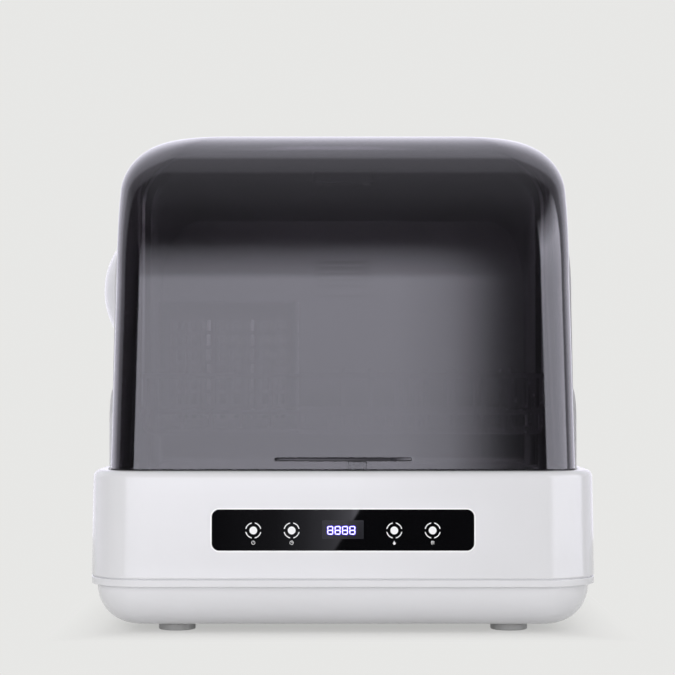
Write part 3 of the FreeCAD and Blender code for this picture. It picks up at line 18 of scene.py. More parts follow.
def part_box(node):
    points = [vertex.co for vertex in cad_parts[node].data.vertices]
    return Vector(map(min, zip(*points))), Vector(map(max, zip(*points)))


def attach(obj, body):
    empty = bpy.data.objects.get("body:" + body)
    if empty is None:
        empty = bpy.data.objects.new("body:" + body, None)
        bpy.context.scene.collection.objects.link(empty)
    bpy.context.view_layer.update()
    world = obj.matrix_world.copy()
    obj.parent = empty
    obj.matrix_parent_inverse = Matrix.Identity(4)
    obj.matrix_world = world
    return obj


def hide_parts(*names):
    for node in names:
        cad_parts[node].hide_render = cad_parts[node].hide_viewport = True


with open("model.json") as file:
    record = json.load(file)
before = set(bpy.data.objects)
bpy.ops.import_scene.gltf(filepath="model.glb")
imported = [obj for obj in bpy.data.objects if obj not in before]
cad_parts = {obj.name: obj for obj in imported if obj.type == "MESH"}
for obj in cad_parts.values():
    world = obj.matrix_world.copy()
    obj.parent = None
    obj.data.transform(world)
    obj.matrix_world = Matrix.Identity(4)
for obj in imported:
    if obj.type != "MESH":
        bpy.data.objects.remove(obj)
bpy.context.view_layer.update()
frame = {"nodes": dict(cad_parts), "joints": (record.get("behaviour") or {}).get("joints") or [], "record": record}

MM = 0.001
nodes = frame["nodes"]
scene = bpy.context.scene
scene.view_settings.view_transform = "Standard"

# %% [markdown]
# ## The camera
#
# The machine is seen from straight in front and from about the height of its middle. A long lens
# from 1.9 m away gives the small amount of perspective that such a picture has. The lens could be
# chosen by eye. Here it is worked out from how many pixels one unit of slope takes, so that known
# widths of the base land where they belong.

# %% Camera
EYE = Vector((0.0, -1.9, 0.2105))
SENSOR_MM = 36
IMAGE_SIDE = 675
FOCAL_PIXELS = 2040
PITCH_UP = math.radians(1.32)
SIDE_SHIFT = -0.0081
FARTHEST = 60

camera_data = bpy.data.cameras.new("camera")
camera_data.sensor_width = SENSOR_MM
camera_data.lens = SENSOR_MM * FOCAL_PIXELS / IMAGE_SIDE
camera_data.shift_x = SIDE_SHIFT
camera_data.clip_end = FARTHEST
camera = bpy.data.objects.new("camera", camera_data)
camera.location = EYE
camera.rotation_euler = (math.pi / 2 + PITCH_UP, 0, 0)
scene.collection.objects.link(camera)
scene.camera = camera
print("lens:", round(camera_data.lens, 1), "mm")

# %% [markdown]
# ## Small helpers for node trees
#
# A shader is a tree of nodes. A few helpers keep the lines short: `maths` and `product` do sums
# with outputs and plain numbers, `ramp` is a colour ramp, `through` is a curve that goes through
# given points, and `blend` mixes two shaders.

# %% Node helpers
def fill(tree, socket, value):
    """Link a socket to an output, or set its constant."""
    if isinstance(value, (int, float)):
        socket.default_value = value
    else:
        tree.links.new(value, socket)


def maths(tree, operation, *values):
    """One step of arithmetic on outputs or plain numbers."""
    node = tree.nodes.new("ShaderNodeMath")
    node.operation = operation
    for socket, value in zip(node.inputs, values):
        fill(tree, socket, value)
    return node.outputs[0]


def product(tree, first, *others):
    for other in others:
        first = maths(tree, "MULTIPLY", first, other)
    return first


def grey(value):
    return (value, value, value)


def ramp(tree, factor, stops):
    """A Color Ramp with (position, colour) stops."""
    node = tree.nodes.new("ShaderNodeValToRGB")
    while len(node.color_ramp.elements) < len(stops):
        node.color_ramp.elements.new(0.5)
    for element, (position, colour) in zip(node.color_ramp.elements, stops):
        element.position = position
        element.color = (*colour, 1)
    tree.links.new(factor, node.inputs["Fac"])
    return node.outputs["Color"]


def through(tree, value, points):
    """A number that follows (value, result) points, with straight lines between them."""
    low, high = points[0][0], points[-1][0]
    share = maths(tree, "DIVIDE", maths(tree, "SUBTRACT", value, low), high - low)
    peak = max(result for _, result in points)
    stops = [((at - low) / (high - low), grey(result / peak)) for at, result in points]
    return maths(tree, "MULTIPLY", ramp(tree, share, stops), peak)


def blend(tree, share, low, high):
    """A Mix Shader: the first shader where the share is 0, the second where it is 1."""
    node = tree.nodes.new("ShaderNodeMixShader")
    for socket, output in zip(node.inputs, (share, low, high)):
        tree.links.new(output, socket)
    return node.outputs[0]


# %% [markdown]
# ## The room that the gloss shows
#
# Glossy and smoked plastic show the room more than their own colour. This studio has a wide soft
# box in front, one at the right side, a slanted grey card low in front, white paper behind, beside
# and above, and a dark room between them. The boxes could be lamps, but a lamp's picture in the
# plastic has hard edges. A world shader can fade them. Mirror rays see this room, the camera sees
# plain paper, and matt surfaces get an even light, so the colours stay as they are written.
#
# Each curve is a list of (angle, brightness) points. Angles across count from straight in front,
# with the right side at 90 degrees, and angles up count from level, with the ceiling at 90.

# %% World
PAPER = (0.802, 0.802, 0.788)
PAPER_LEVEL = 0.98
DARK_ROOM = 0.03
EVEN_LIGHT = 0.34
GLOSS_TINT = (0.99, 0.975, 1.11)

FRONT_LEVEL = 4.5
FRONT_ACROSS = [(-47, 0), (-44, 1), (1.5, 1), (3.0, 0.78), (3.84, 0.36), (4.4, 0.10),
                (4.95, 0.01), (5.5, 0)]
FRONT_UP = [(-3.0, 0), (-2.8, 1), (4, 1), (8, 0.65), (20, 0.36), (28, 0.14), (32, 0.03), (36, 0)]

RIGHT_LEVEL = 5.5
RIGHT_ACROSS = [(27, 0), (31, 1), (98, 1), (104, 0)]
RIGHT_UP = [(-30, 0.6), (0, 0.8), (25, 1), (50, 0)]

BESIDE_LEVEL = 0.36
BESIDE_ACROSS = [(97, 0), (103, 1), (180, 1)]
BESIDE_UP = [(-90, 1), (25, 1), (45, 0), (90, 0)]

CARD_ACROSS = [(-3.6, 0.02), (-1.9, 0.12), (-1.07, 0.34), (-0.79, 0.5), (-0.36, 0.7),
               (-0.08, 0.98), (0.2, 1.35), (0.34, 2.0), (0.7, 2.0)]
CARD_UP = [(-6.2, 0), (-6, 1), (-3.15, 1), (-3.05, 0)]
CARD_SLOPE = 0.62
CARD_SIDE = [(-9, 1), (2.62, 1), (2.66, 0), (9, 0)]

CEILING_UP = [(-90, 0), (42, 0), (60, 0.14), (75, 0.36), (90, 0.46)]

# How far a direction points to the back, from -1 to 1, and how bright the backdrop is there.
BACKDROP = [(-1, DARK_ROOM), (0.10, DARK_ROOM), (0.16, 0.38), (0.40, 0.46), (0.46, PAPER_LEVEL),
            (1, PAPER_LEVEL)]


def patch(tree, across, up, wide, tall, level):
    """A patch of light with soft borders, from a curve across and a curve up."""
    return product(tree, through(tree, across, wide), through(tree, up, tall), level)


def card(tree, across, up):
    """A slanted grey card below the front box, which the control glass shows."""
    slant = maths(tree, "SUBTRACT", across, maths(tree, "MULTIPLY", up, CARD_SLOPE))
    return product(tree, through(tree, across, CARD_ACROSS), through(tree, up, CARD_UP),
                   through(tree, slant, CARD_SIDE))


def studio_room(tree):
    """The brightness of the room in each direction."""
    place = tree.nodes.new("ShaderNodeTexCoord")
    split = tree.nodes.new("ShaderNodeSeparateXYZ")
    tree.links.new(place.outputs["Generated"], split.inputs[0])
    right, back, high = split.outputs
    ahead = maths(tree, "MULTIPLY", back, -1.0)
    across = maths(tree, "DEGREES", maths(tree, "ARCTAN2", right, ahead))
    aside = maths(tree, "ABSOLUTE", across)
    up = maths(tree, "DEGREES", maths(tree, "ARCSINE", high))
    room = through(tree, back, BACKDROP)
    for light in (patch(tree, across, up, FRONT_ACROSS, FRONT_UP, FRONT_LEVEL),
                  card(tree, across, up),
                  patch(tree, across, up, RIGHT_ACROSS, RIGHT_UP, RIGHT_LEVEL),
                  patch(tree, aside, up, BESIDE_ACROSS, BESIDE_UP, BESIDE_LEVEL),
                  through(tree, up, CEILING_UP)):
        room = maths(tree, "ADD", room, light)
    return room


def build_world(tree):
    """Send each kind of ray to its own background."""
    tree.nodes.clear()
    room = studio_room(tree)
    tinted = tree.nodes.new("ShaderNodeCombineXYZ")
    for socket, part in zip(tinted.inputs, GLOSS_TINT):
        tree.links.new(maths(tree, "MULTIPLY", room, part), socket)
    mirror, even, seen = [tree.nodes.new("ShaderNodeBackground") for _ in range(3)]
    tree.links.new(tinted.outputs[0], mirror.inputs["Color"])
    even.inputs["Color"].default_value = (1, 1, 1, 1)
    even.inputs["Strength"].default_value = EVEN_LIGHT
    seen.inputs["Color"].default_value = (*PAPER, 1)
    rays = tree.nodes.new("ShaderNodeLightPath").outputs
    direct = maths(tree, "MAXIMUM", rays["Is Camera Ray"], rays["Is Transmission Ray"])
    bounced = blend(tree, rays["Is Glossy Ray"], even.outputs[0], mirror.outputs[0])
    out = tree.nodes.new("ShaderNodeOutputWorld")
    tree.links.new(blend(tree, direct, bounced, seen.outputs[0]), out.inputs["Surface"])


world = bpy.data.worlds.new("studio")
scene.world = world
world.use_nodes = True
build_world(world.node_tree)
print("world nodes:", len(world.node_tree.nodes))

# %% [markdown]
# ## Lamps for the matt surfaces
#
# The lamps give form and soft shadows to everything that isn't a mirror. They are large, so no
# shadow has an edge. Their mirror pictures are switched off, because the world already shows them
# with soft borders. The small one is the machine's own lamp under the chamber's ceiling.

# %% Lamps
# Name, place, the point it faces, width, height, radiance and colour.
LAMPS = [
    ("front_lamp", (-0.45, -1.9, 0.75), (0, 0, 0.15), 1.5, 1.0, 2.5, (1.0, 0.985, 1.0)),
    ("right_lamp", (2.1, -0.9, 0.6), (0.2, -0.1, 0.1), 1.2, 1.2, 1.8, (1, 1, 1)),
    ("left_lamp", (-2.1, -0.9, 0.6), (-0.2, -0.1, 0.1), 1.2, 1.2, 0.95, (1, 1, 1)),
    ("low_lamp", (0, -1.5, 0.16), (0, -0.2, 0.02), 1.8, 0.3, 1.7, (1, 1, 1)),
    ("top_lamp", (0, 0.4, 2.0), (0, 0, 0.1), 1.8, 1.4, 2.2, (1, 1, 1)),
    ("chamber_lamp", (0, 0.0, 0.398), (0, 0.02, 0.1), 0.30, 0.06, 26, (1, 1, 1)),
]


def soft_box(name, place, aim, width, height, radiance, colour):
    """A rectangular lamp that faces a point, as bright as its face looks."""
    data = bpy.data.lights.new(name, "AREA")
    data.shape = "RECTANGLE"
    data.size = width
    data.size_y = height
    data.energy = radiance * math.pi * width * height
    data.color = colour
    lamp = bpy.data.objects.new(name, data)
    lamp.location = place
    lamp.rotation_euler = (Vector(aim) - Vector(place)).to_track_quat("-Z", "Y").to_euler()
    lamp.visible_camera = False
    lamp.visible_glossy = False
    lamp.visible_transmission = False
    scene.collection.objects.link(lamp)


for lamp_row in LAMPS:
    soft_box(*lamp_row)
print("lamps:", [lamp_row[0] for lamp_row in LAMPS])

# %% [markdown]
# ## The floor
#
# The machine stands on a sheet of white paper that runs on into the background. A real sheet
# looks even because it is lit from below as well. Here the rays that look at it see a blend of
# matt paper and an even glow of the same white: about half and half near the machine, so that its
# shadow stays, and only the glow farther out, so that the sheet's edge doesn't show.

# %% Floor
FLOOR_HALF = 0.9
NEAR_SHARE = 0.55
NEAR_ENDS = 0.16
FAR_STARTS = 0.225
LONGER_BY = 0.02


def floor_material():
    material = bpy.data.materials.new("studio_floor")
    material.use_nodes = True
    tree = material.node_tree
    tree.nodes.clear()
    matt = tree.nodes.new("ShaderNodeBsdfDiffuse")
    glow = tree.nodes.new("ShaderNodeEmission")
    for shader in (matt, glow):
        shader.inputs["Color"].default_value = (*PAPER, 1)
    split = tree.nodes.new("ShaderNodeSeparateXYZ")
    tree.links.new(tree.nodes.new("ShaderNodeTexCoord").outputs["Object"], split.inputs[0])
    sideways = maths(tree, "SUBTRACT", maths(tree, "ABSOLUTE", split.outputs["X"]), LONGER_BY)
    away = maths(tree, "MAXIMUM", sideways, maths(tree, "ABSOLUTE", split.outputs["Y"]))
    share = through(tree, away, [(0, NEAR_SHARE), (NEAR_ENDS, NEAR_SHARE), (FAR_STARTS, 1),
                                 (1, 1)])
    rays = tree.nodes.new("ShaderNodeLightPath").outputs
    looking = maths(tree, "MAXIMUM", rays["Is Camera Ray"],
                    maths(tree, "MAXIMUM", rays["Is Glossy Ray"], rays["Is Transmission Ray"]))
    out = tree.nodes.new("ShaderNodeOutputMaterial")
    tree.links.new(blend(tree, product(tree, share, looking), matt.outputs[0], glow.outputs[0]),
                   out.inputs["Surface"])
    return material


def studio_floor():
    bm = bmesh.new()
    bmesh.ops.create_grid(bm, x_segments=1, y_segments=1, size=FLOOR_HALF)
    mesh = bpy.data.meshes.new("studio_floor")
    bm.to_mesh(mesh)
    bm.free()
    mesh.materials.append(floor_material())
    floor = bpy.data.objects.new("studio_floor", mesh)
    scene.collection.objects.link(floor)


studio_floor()
print("floor:", 2 * FLOOR_HALF, "m across")

# %% [markdown]
# ## Moulded plastics
#
# Moulded plastic is never one flat colour. It has faint clouds from the pigment, a fine grain from
# the mould and patches where it is a little more or less glossy. Three noise textures on Object
# coordinates give these: a slow one for the colour, a middle one for the gloss and a fine one for
# the relief.

# %% Plastics
CLOUD_SCALE = 9.0
PATCH_SCALE = 40.0
NOISE_LOW, NOISE_HIGH = 0.3, 0.7
GRAIN_DEPTH = 0.4 * MM
SMOKE = (0.125, 0.115, 0.135)
SMOKE_IOR = 1.5
LAMP_CLEARNESS = 0.7


def shader_of(material):
    return material.node_tree.nodes["Principled BSDF"]


def start_material(name):
    """A material with its tree and the Object coordinates."""
    material = bpy.data.materials.new(name)
    material.use_nodes = True
    tree = material.node_tree
    return material, tree, tree.nodes.new("ShaderNodeTexCoord").outputs["Object"]


def noise(tree, place, scale, detail=2.0):
    node = tree.nodes.new("ShaderNodeTexNoise")
    node.inputs["Scale"].default_value = scale
    node.inputs["Detail"].default_value = detail
    tree.links.new(place, node.inputs["Vector"])
    return node.outputs["Fac"]


def spread_over(tree, pattern, low, high):
    """A noise pattern turned into a range of colours."""
    return ramp(tree, pattern, [(NOISE_LOW, low), (NOISE_HIGH, high)])


def relief(tree, height, strength, distance):
    """Fine relief on the surface, from a height pattern."""
    node = tree.nodes.new("ShaderNodeBump")
    node.inputs["Strength"].default_value = strength
    node.inputs["Distance"].default_value = distance
    tree.links.new(height, node.inputs["Height"])
    tree.links.new(node.outputs[0], tree.nodes["Principled BSDF"].inputs["Normal"])


def plastic(name, colour, roughness, grain=900.0, bump=0.02, spread=0.04, patches=0.15):
    material, tree, place = start_material(name)
    shader = shader_of(material)
    dark = tuple(part * (1 - spread) for part in colour)
    light = tuple(min(1, part * (1 + spread)) for part in colour)
    clouds = spread_over(tree, noise(tree, place, CLOUD_SCALE), dark, light)
    tree.links.new(clouds, shader.inputs["Base Color"])
    gloss = spread_over(tree, noise(tree, place, PATCH_SCALE), grey(roughness * (1 - patches)),
                        grey(roughness * (1 + patches)))
    tree.links.new(gloss, shader.inputs["Roughness"])
    if bump:
        relief(tree, noise(tree, place, grain), bump, GRAIN_DEPTH)
    return material


smoked_plastic = plastic("smoked_plastic", SMOKE, 0.045, bump=0, spread=0.02)
shader_of(smoked_plastic).inputs["Transmission Weight"].default_value = 1.0
shader_of(smoked_plastic).inputs["IOR"].default_value = SMOKE_IOR

clear_plastic = plastic("lamp_clear", (0.82, 0.83, 0.85), 0.25, grain=400, bump=0.1)
shader_of(clear_plastic).inputs["Transmission Weight"].default_value = LAMP_CLEARNESS
print("see-through plastics:", smoked_plastic.name, clear_plastic.name)

# %% [markdown]
# ## Metal and circuit boards
#
# Drawn and rolled steel has fine lines along one direction. A noise that is stretched by a Mapping
# node makes them. A circuit board is green lacquer over copper tracks, which a brick texture
# stands for.

# %% Metals and boards
BRUSH_DETAIL = 4.0
BRUSH_LOW, BRUSH_HIGH = 0.8, 1.3
BRUSH_BUMP = 0.08
BRUSH_DEPTH = 0.1 * MM
TRACK_SCALE = 90
TRACK_WIDE = 0.06
TRACK_COLOURS = {"Color1": (0.012, 0.11, 0.045), "Color2": (0.016, 0.13, 0.05),
                 "Mortar": (0.05, 0.24, 0.10)}


def metal(name, colour, roughness, stretch=(40, 40, 1500)):
    material, tree, place = start_material(name)
    shader = shader_of(material)
    shader.inputs["Metallic"].default_value = 1.0
    shader.inputs["Base Color"].default_value = (*colour, 1)
    lines = tree.nodes.new("ShaderNodeMapping")
    lines.inputs["Scale"].default_value = stretch
    tree.links.new(place, lines.inputs["Vector"])
    brushed = noise(tree, lines.outputs[0], 1.0, BRUSH_DETAIL)
    tree.links.new(spread_over(tree, brushed, grey(roughness * BRUSH_LOW),
                               grey(roughness * BRUSH_HIGH)), shader.inputs["Roughness"])
    relief(tree, brushed, BRUSH_BUMP, BRUSH_DEPTH)
    return material


def board():
    material = plastic("circuit_board", (0.02, 0.14, 0.06), 0.3)
    tree = material.node_tree
    tracks = tree.nodes.new("ShaderNodeTexBrick")
    tracks.inputs["Scale"].default_value = TRACK_SCALE
    tracks.inputs["Mortar Size"].default_value = TRACK_WIDE
    for socket, colour in TRACK_COLOURS.items():
        tracks.inputs[socket].default_value = (*colour, 1)
    place = tree.nodes.new("ShaderNodeTexCoord").outputs["Object"]
    tree.links.new(place, tracks.inputs["Vector"])
    tree.links.new(tracks.outputs["Color"], shader_of(material).inputs["Base Color"])
    return material


# %% [markdown]
# ## A finish for every part
#
# Each part's record names the slot that its finish belongs to, so one table of finishes dresses
# them all. A few parts differ from their slot and get a finish of their own: the bezel is a
# brighter white, the feet are a paler rubber, and the lid's handle is a dark matt edge. The
# control glass is black print behind a clear sheet, so it is almost black and very smooth.

# %% Finishes
WHITE_SPECULAR = 0.36

finishes = {
    "white_shell": plastic("gloss_white", (0.775, 0.775, 0.80), 0.17, grain=500, bump=0.008,
                           spread=0.008),
    "smoked_lid": smoked_plastic,
    "panel_glass": plastic("black_glass", (0.002, 0.002, 0.0025), 0.012, bump=0),
    "liner_grey": plastic("liner", (0.065, 0.064, 0.07), 0.35),
    "grey_plastic": plastic("grey_plastic", (0.25, 0.25, 0.26), 0.4),
    "dark_plastic": plastic("dark_plastic", (0.022, 0.022, 0.025), 0.38, grain=700, bump=0.06),
    "rubber": plastic("rubber", (0.02, 0.02, 0.02), 0.6, grain=500, bump=0.12),
    "steel": metal("steel", (0.60, 0.60, 0.61), 0.28),
    "rack_wire": metal("rack_wire", (0.62, 0.62, 0.64), 0.22, (300, 300, 300)),
    "circuit_board": board(),
    "display": plastic("display", (0.05, 0.05, 0.055), 0.3),
    "lamp_clear": clear_plastic,
    "acetal": plastic("acetal", (0.75, 0.75, 0.73), 0.35),
}
shader_of(finishes["white_shell"]).inputs["Specular IOR Level"].default_value = WHITE_SPECULAR
own_finishes = {
    "panel_bezel": plastic("bright_white", (0.95, 0.95, 0.96), 0.25, bump=0, spread=0.005),
    "rubber_feet": plastic("grey_rubber", (0.5, 0.5, 0.5), 0.55, grain=500, bump=0.12),
    "cutlery_basket": plastic("pale_plastic", (0.52, 0.52, 0.54), 0.4),
    "lid_handle": plastic("smoked_edge", (0.018, 0.017, 0.021), 0.3, bump=0),
    "vent_grille": finishes["liner_grey"],
}
slots = {entry["node"]: entry["material_slot"] for entry in frame["record"]["subparts"]}
for name, node in nodes.items():
    node.data.materials.clear()
    node.data.materials.append(own_finishes.get(name, finishes[slots[name]]))
print("finishes:", len(finishes), "own finishes:", len(own_finishes))

# %% [markdown]
# ## Growing a skin ring by ring
#
# The base and the lid are skins: closed sections that change a little from one height to the next.
# One way is a box with rounded edges, but neither form is that plain. The helpers below lay a
# first ring of points, extrude its edges and set every new ring where the next section is.

# %% Ring helpers
CORNER_STEPS = 14
LEAST_RADIUS = 0.5 * MM
WELD = 1e-6


def pairs(ring, closed):
    """The ring's neighbours, two by two."""
    following = ring[1:] + ring[:1] if closed else ring[1:]
    return list(zip(ring, following))


def first_ring(bm, points, closed=True):
    ring = [bm.verts.new(point) for point in points]
    for pair in pairs(ring, closed):
        bm.edges.new(pair)
    return ring


def next_ring(bm, ring, points, closed=True):
    """Extrude the ring's edges and set the new ring on its points."""
    edges = [bm.edges.get(pair) for pair in pairs(ring, closed)]
    made = bmesh.ops.extrude_edge_only(bm, edges=edges)["geom"]
    fresh = {item for item in made if isinstance(item, bmesh.types.BMVert)}
    grown = []
    for vert, point in zip(ring, points):
        partner = next(edge.other_vert(vert) for edge in vert.link_edges
                       if edge.other_vert(vert) in fresh)
        partner.co = point
        grown.append(partner)
    return grown


def loft(rings, closed=True):
    """A skin through rings of points that all have the same count."""
    bm = bmesh.new()
    ring = first_ring(bm, rings[0], closed)
    start = ring
    for points in rings[1:]:
        ring = next_ring(bm, ring, points, closed)
    return bm, start, ring


def rounded_ring(box, inset, height, corner, steps=CORNER_STEPS):
    """A level rounded rectangle inside (left, right, front, back), by an inset."""
    left, right, front, back = box
    radius = max(corner - inset, LEAST_RADIUS)
    centres = [(right - inset - radius, front + inset + radius, -90),
               (right - inset - radius, back - inset - radius, 0),
               (left + inset + radius, back - inset - radius, 90),
               (left + inset + radius, front + inset + radius, 180)]
    points = []
    for x, y, start in centres:
        for step in range(steps + 1):
            turn = math.radians(start + 90 * step / steps)
            points.append(Vector((x + radius * math.cos(turn), y + radius * math.sin(turn),
                                  height)))
    return points


def quarter(steps):
    """Turns from 0 to a right angle."""
    return [math.pi / 2 * step / steps for step in range(steps + 1)]


def piece_from(bm, name, body, material, smooth_angle=35):
    """Close a bmesh into an object that rides on a body."""
    bmesh.ops.remove_doubles(bm, verts=bm.verts, dist=WELD)
    bmesh.ops.recalc_face_normals(bm, faces=bm.faces)
    mesh = bpy.data.meshes.new(name)
    bm.to_mesh(mesh)
    bm.free()
    mesh.shade_smooth()
    mesh.set_sharp_from_angle(angle=math.radians(smooth_angle))
    piece = bpy.data.objects.new(name, mesh)
    scene.collection.objects.link(piece)
    mesh.materials.append(material)
    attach(piece, body)
    print(name + ":", len(mesh.polygons), "faces")
    return piece


# %% [markdown]
# ## The base's outer shell
#
# The base is a moulded tray, turned over: walls that lean in by 1.5 mm, a soft shoulder of 6 mm,
# a shallow groove where it meets the pan below, and a wide opening on top. The ring helper makes
# the whole skin, inside and outside, in one run: up the outside, over the rim and back down the
# inside.

# %% Base shell
shell_low, shell_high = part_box("base_housing")
BASE_BOX = (shell_low.x, shell_high.x, shell_low.y, shell_high.y)
SEAM = shell_low.z
RIM = shell_high.z
BASE_CORNER = 50 * MM
DRAFT = 1.5 * MM
RIM_ROUND = 6 * MM
WALL = 3 * MM
WALL_FOOT = 2 * MM
GROOVE_DEPTH = 1.6 * MM
GROOVE_HIGH = 0.9 * MM
OPENING = 15.2 * MM
EDGE = 0.5 * MM
EDGE_STEPS = 3
WALL_STEPS = 6
RIM_STEPS = 10


def lean(height):
    """How far the drafted wall has moved in at a height."""
    return DRAFT * (height - SEAM) / (RIM - SEAM)


def base_ring(inset, height):
    return rounded_ring(BASE_BOX, inset, height, BASE_CORNER)


def base_shell():
    rings = [base_ring(WALL, SEAM), base_ring(GROOVE_DEPTH, SEAM),
             base_ring(GROOVE_DEPTH, SEAM + GROOVE_HIGH)]
    for turn in quarter(EDGE_STEPS):
        rings.append(base_ring(EDGE * (1 - math.sin(turn)),
                               SEAM + GROOVE_HIGH + EDGE * (1 - math.cos(turn))))
    foot = SEAM + WALL_FOOT
    shoulder = RIM - RIM_ROUND
    for step in range(WALL_STEPS + 1):
        height = foot + (shoulder - foot) * step / WALL_STEPS
        rings.append(base_ring(lean(height), height))
    for turn in quarter(RIM_STEPS)[1:]:
        height = shoulder + RIM_ROUND * math.sin(turn)
        rings.append(base_ring(lean(height) + RIM_ROUND * (1 - math.cos(turn)), height))
    for turn in quarter(EDGE_STEPS):
        rings.append(base_ring(OPENING - EDGE + EDGE * math.sin(turn),
                               RIM - EDGE * (1 - math.cos(turn))))
    rings.append(base_ring(OPENING, RIM - WALL))
    rings.append(base_ring(WALL + DRAFT, RIM - WALL))
    bm, start, end = loft(rings)
    bmesh.ops.bridge_loops(bm, edges=[bm.edges.get(pair) for ring in (start, end)
                                      for pair in pairs(ring, True)])
    return bm


shell = piece_from(base_shell(), "base_shell", "cabinet", finishes["white_shell"])

# %% [markdown]
# ## Openings in the base
#
# The panel sits in a seat in the front wall, and the hose fittings and the mains socket come out
# through the back and the side. Modelled in the skin, these holes would break its clean rings.
# They are cut away with boolean cutters instead, which are applied and thrown away.

# %% Cutters for the panel seat and the fittings
PANEL_CORNER = 7.4 * MM
SEAT_FRONT = 20 * MM
SEAT_DEEPER = 1 * MM
BLOCK_STEPS = 8
ROD_SEGMENTS = 48
# Radius, start, axis and length of the round holes.
DRAIN_HOLE = (15.5 * MM, (0.19, 0.11, 0.074), (1, 0, 0), 0.05)
INLET_HOLE = (13.7 * MM, (-0.12, 0.16, 0.092), (0, 1, 0), 0.04)
# Left, right, low, high, corner, near and far end of the mains socket's hole.
MAINS_HOLE = (0.0897, 0.1303, 0.0797, 0.1043, 2 * MM, 0.16, 0.2)


def cutter_from(bm, name):
    bmesh.ops.recalc_face_normals(bm, faces=bm.faces)
    mesh = bpy.data.meshes.new(name)
    bm.to_mesh(mesh)
    bm.free()
    cutter = bpy.data.objects.new(name, mesh)
    scene.collection.objects.link(cutter)
    return cutter


def cut_by(piece, cutters):
    """Take the cutters' shapes out of a piece for good, and drop the cutters."""
    for cutter in cutters:
        step = piece.modifiers.new("cut", "BOOLEAN")
        step.operation = "DIFFERENCE"
        step.solver = "EXACT"
        step.object = cutter
    graph = bpy.context.evaluated_depsgraph_get()
    mesh = bpy.data.meshes.new_from_object(piece.evaluated_get(graph))
    piece.modifiers.clear()
    old = piece.data
    piece.data = mesh
    bpy.data.meshes.remove(old)
    for cutter in cutters:
        bpy.data.objects.remove(cutter)


def upright_block(left, right, low, high, radius, near, far):
    """A block with rounded corners whose face stands in the XZ plane."""
    rings = []
    for y in (near, far):
        flat = rounded_ring((left, right, low, high), 0, y, radius, BLOCK_STEPS)
        rings.append([Vector((point.x, point.z, point.y)) for point in flat])
    bm, start, end = loft(rings)
    bmesh.ops.contextual_create(bm, geom=start)
    bmesh.ops.contextual_create(bm, geom=end)
    return bm


def add_rod(bm, radius, start, axis, length, segments=ROD_SEGMENTS):
    """A rod that begins at a point and runs along an axis."""
    turn = Vector((0, 0, 1)).rotation_difference(Vector(axis)).to_matrix().to_4x4()
    place = Matrix.Translation(Vector(start) + Vector(axis) * length / 2) @ turn
    bmesh.ops.create_cone(bm, cap_ends=True, segments=segments, radius1=radius, radius2=radius,
                          depth=length, matrix=place)


def rod_block(radius, start, axis, length):
    bm = bmesh.new()
    add_rod(bm, radius, start, axis, length)
    return bm


bezel_low, bezel_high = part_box("panel_bezel")
cut_by(shell, [
    cutter_from(upright_block(bezel_low.x, bezel_high.x, bezel_low.z, bezel_high.z, PANEL_CORNER,
                              bezel_low.y - SEAT_FRONT, bezel_high.y + SEAT_DEEPER),
                "panel_seat"),
    cutter_from(rod_block(*DRAIN_HOLE), "drain_hole"),
    cutter_from(rod_block(*INLET_HOLE), "inlet_hole"),
    cutter_from(upright_block(*MAINS_HOLE), "mains_hole"),
])
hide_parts("base_housing")
print("base shell after the cuts:", len(shell.data.polygons), "faces")

# %% [markdown]
# ## The smoked visor
#
# The lid is a clear, smoke-tinted hood. Seen from the side its front stands up straight and then
# bends back over the chamber. Seen from the front its sides are nearly straight and its top
# corners are round. Its level sections are grown from the foot to the top, one half, then
# mirrored. Extra rings and columns stand right beside each change of curve. Without them the
# shading would spread the bend over the flat part, and the reflections of the soft boxes would
# shrink. A Solidify modifier gives the 3 mm wall.

# %% Visor
HINGE = Vector(next(joint["pos_m"] for joint in frame["joints"] if joint["name"] == "lid_hinge"))
lid_low, lid_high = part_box("lid_shell")
LID_HALF = lid_high.x
LID_FRONT = lid_low.y
LID_FOOT = lid_low.z
LID_RISE = lid_high.z - HINGE.z
LID_TAPER = 4.5 * MM
SIDE_CURVE = 58 * MM
FLAT_HALF = LID_HALF - LID_TAPER - SIDE_CURVE
NOSE = 150 * MM
LID_CORNER = 34 * MM
TOP_CORNER = 44 * MM
BESIDE = 0.5 * MM
RIM_BEVEL = 0.5 * MM
RIM_SEGMENTS = 2
SHARP_FROM = 60
FRONT_COLUMNS = 12
BEND_STEPS = 24
SIDE_COLUMNS = 10
SKIRT_STEPS = 10
DOME_STEPS = 60
MIRROR_WELD = 1e-5


def half_width(height):
    """Half the lid's width: a skirt that spreads, straight sides and round top corners."""
    spread = LID_TAPER * max(0, HINGE.z - height) / (HINGE.z - LID_FOOT)
    rise = max(0, height - HINGE.z - (LID_RISE - SIDE_CURVE))
    return FLAT_HALF + math.sqrt(max(0, SIDE_CURVE ** 2 - rise ** 2)) + spread


def lid_section(turn, height):
    """The right half of a level section, from the middle of the front to the hinge line."""
    half = half_width(height)
    front = LID_FRONT + NOSE * (1 - math.cos(turn))
    corner = LID_CORNER * math.cos(turn) + TOP_CORNER * (1 - math.cos(turn))
    flat = half - corner
    back = front + corner
    points = [Vector((flat * step / FRONT_COLUMNS, front, height))
              for step in range(FRONT_COLUMNS)]
    points.append(Vector((flat - BESIDE, front, height)))
    for angle in quarter(BEND_STEPS):
        points.append(Vector((flat + corner * math.sin(angle),
                              front + corner * (1 - math.cos(angle)), height)))
    points.append(Vector((half, back + BESIDE, height)))
    for step in range(1, SIDE_COLUMNS + 1):
        behind = (HINGE.y - back - BESIDE) * step / SIDE_COLUMNS
        points.append(Vector((half, back + BESIDE + behind, height)))
    return points


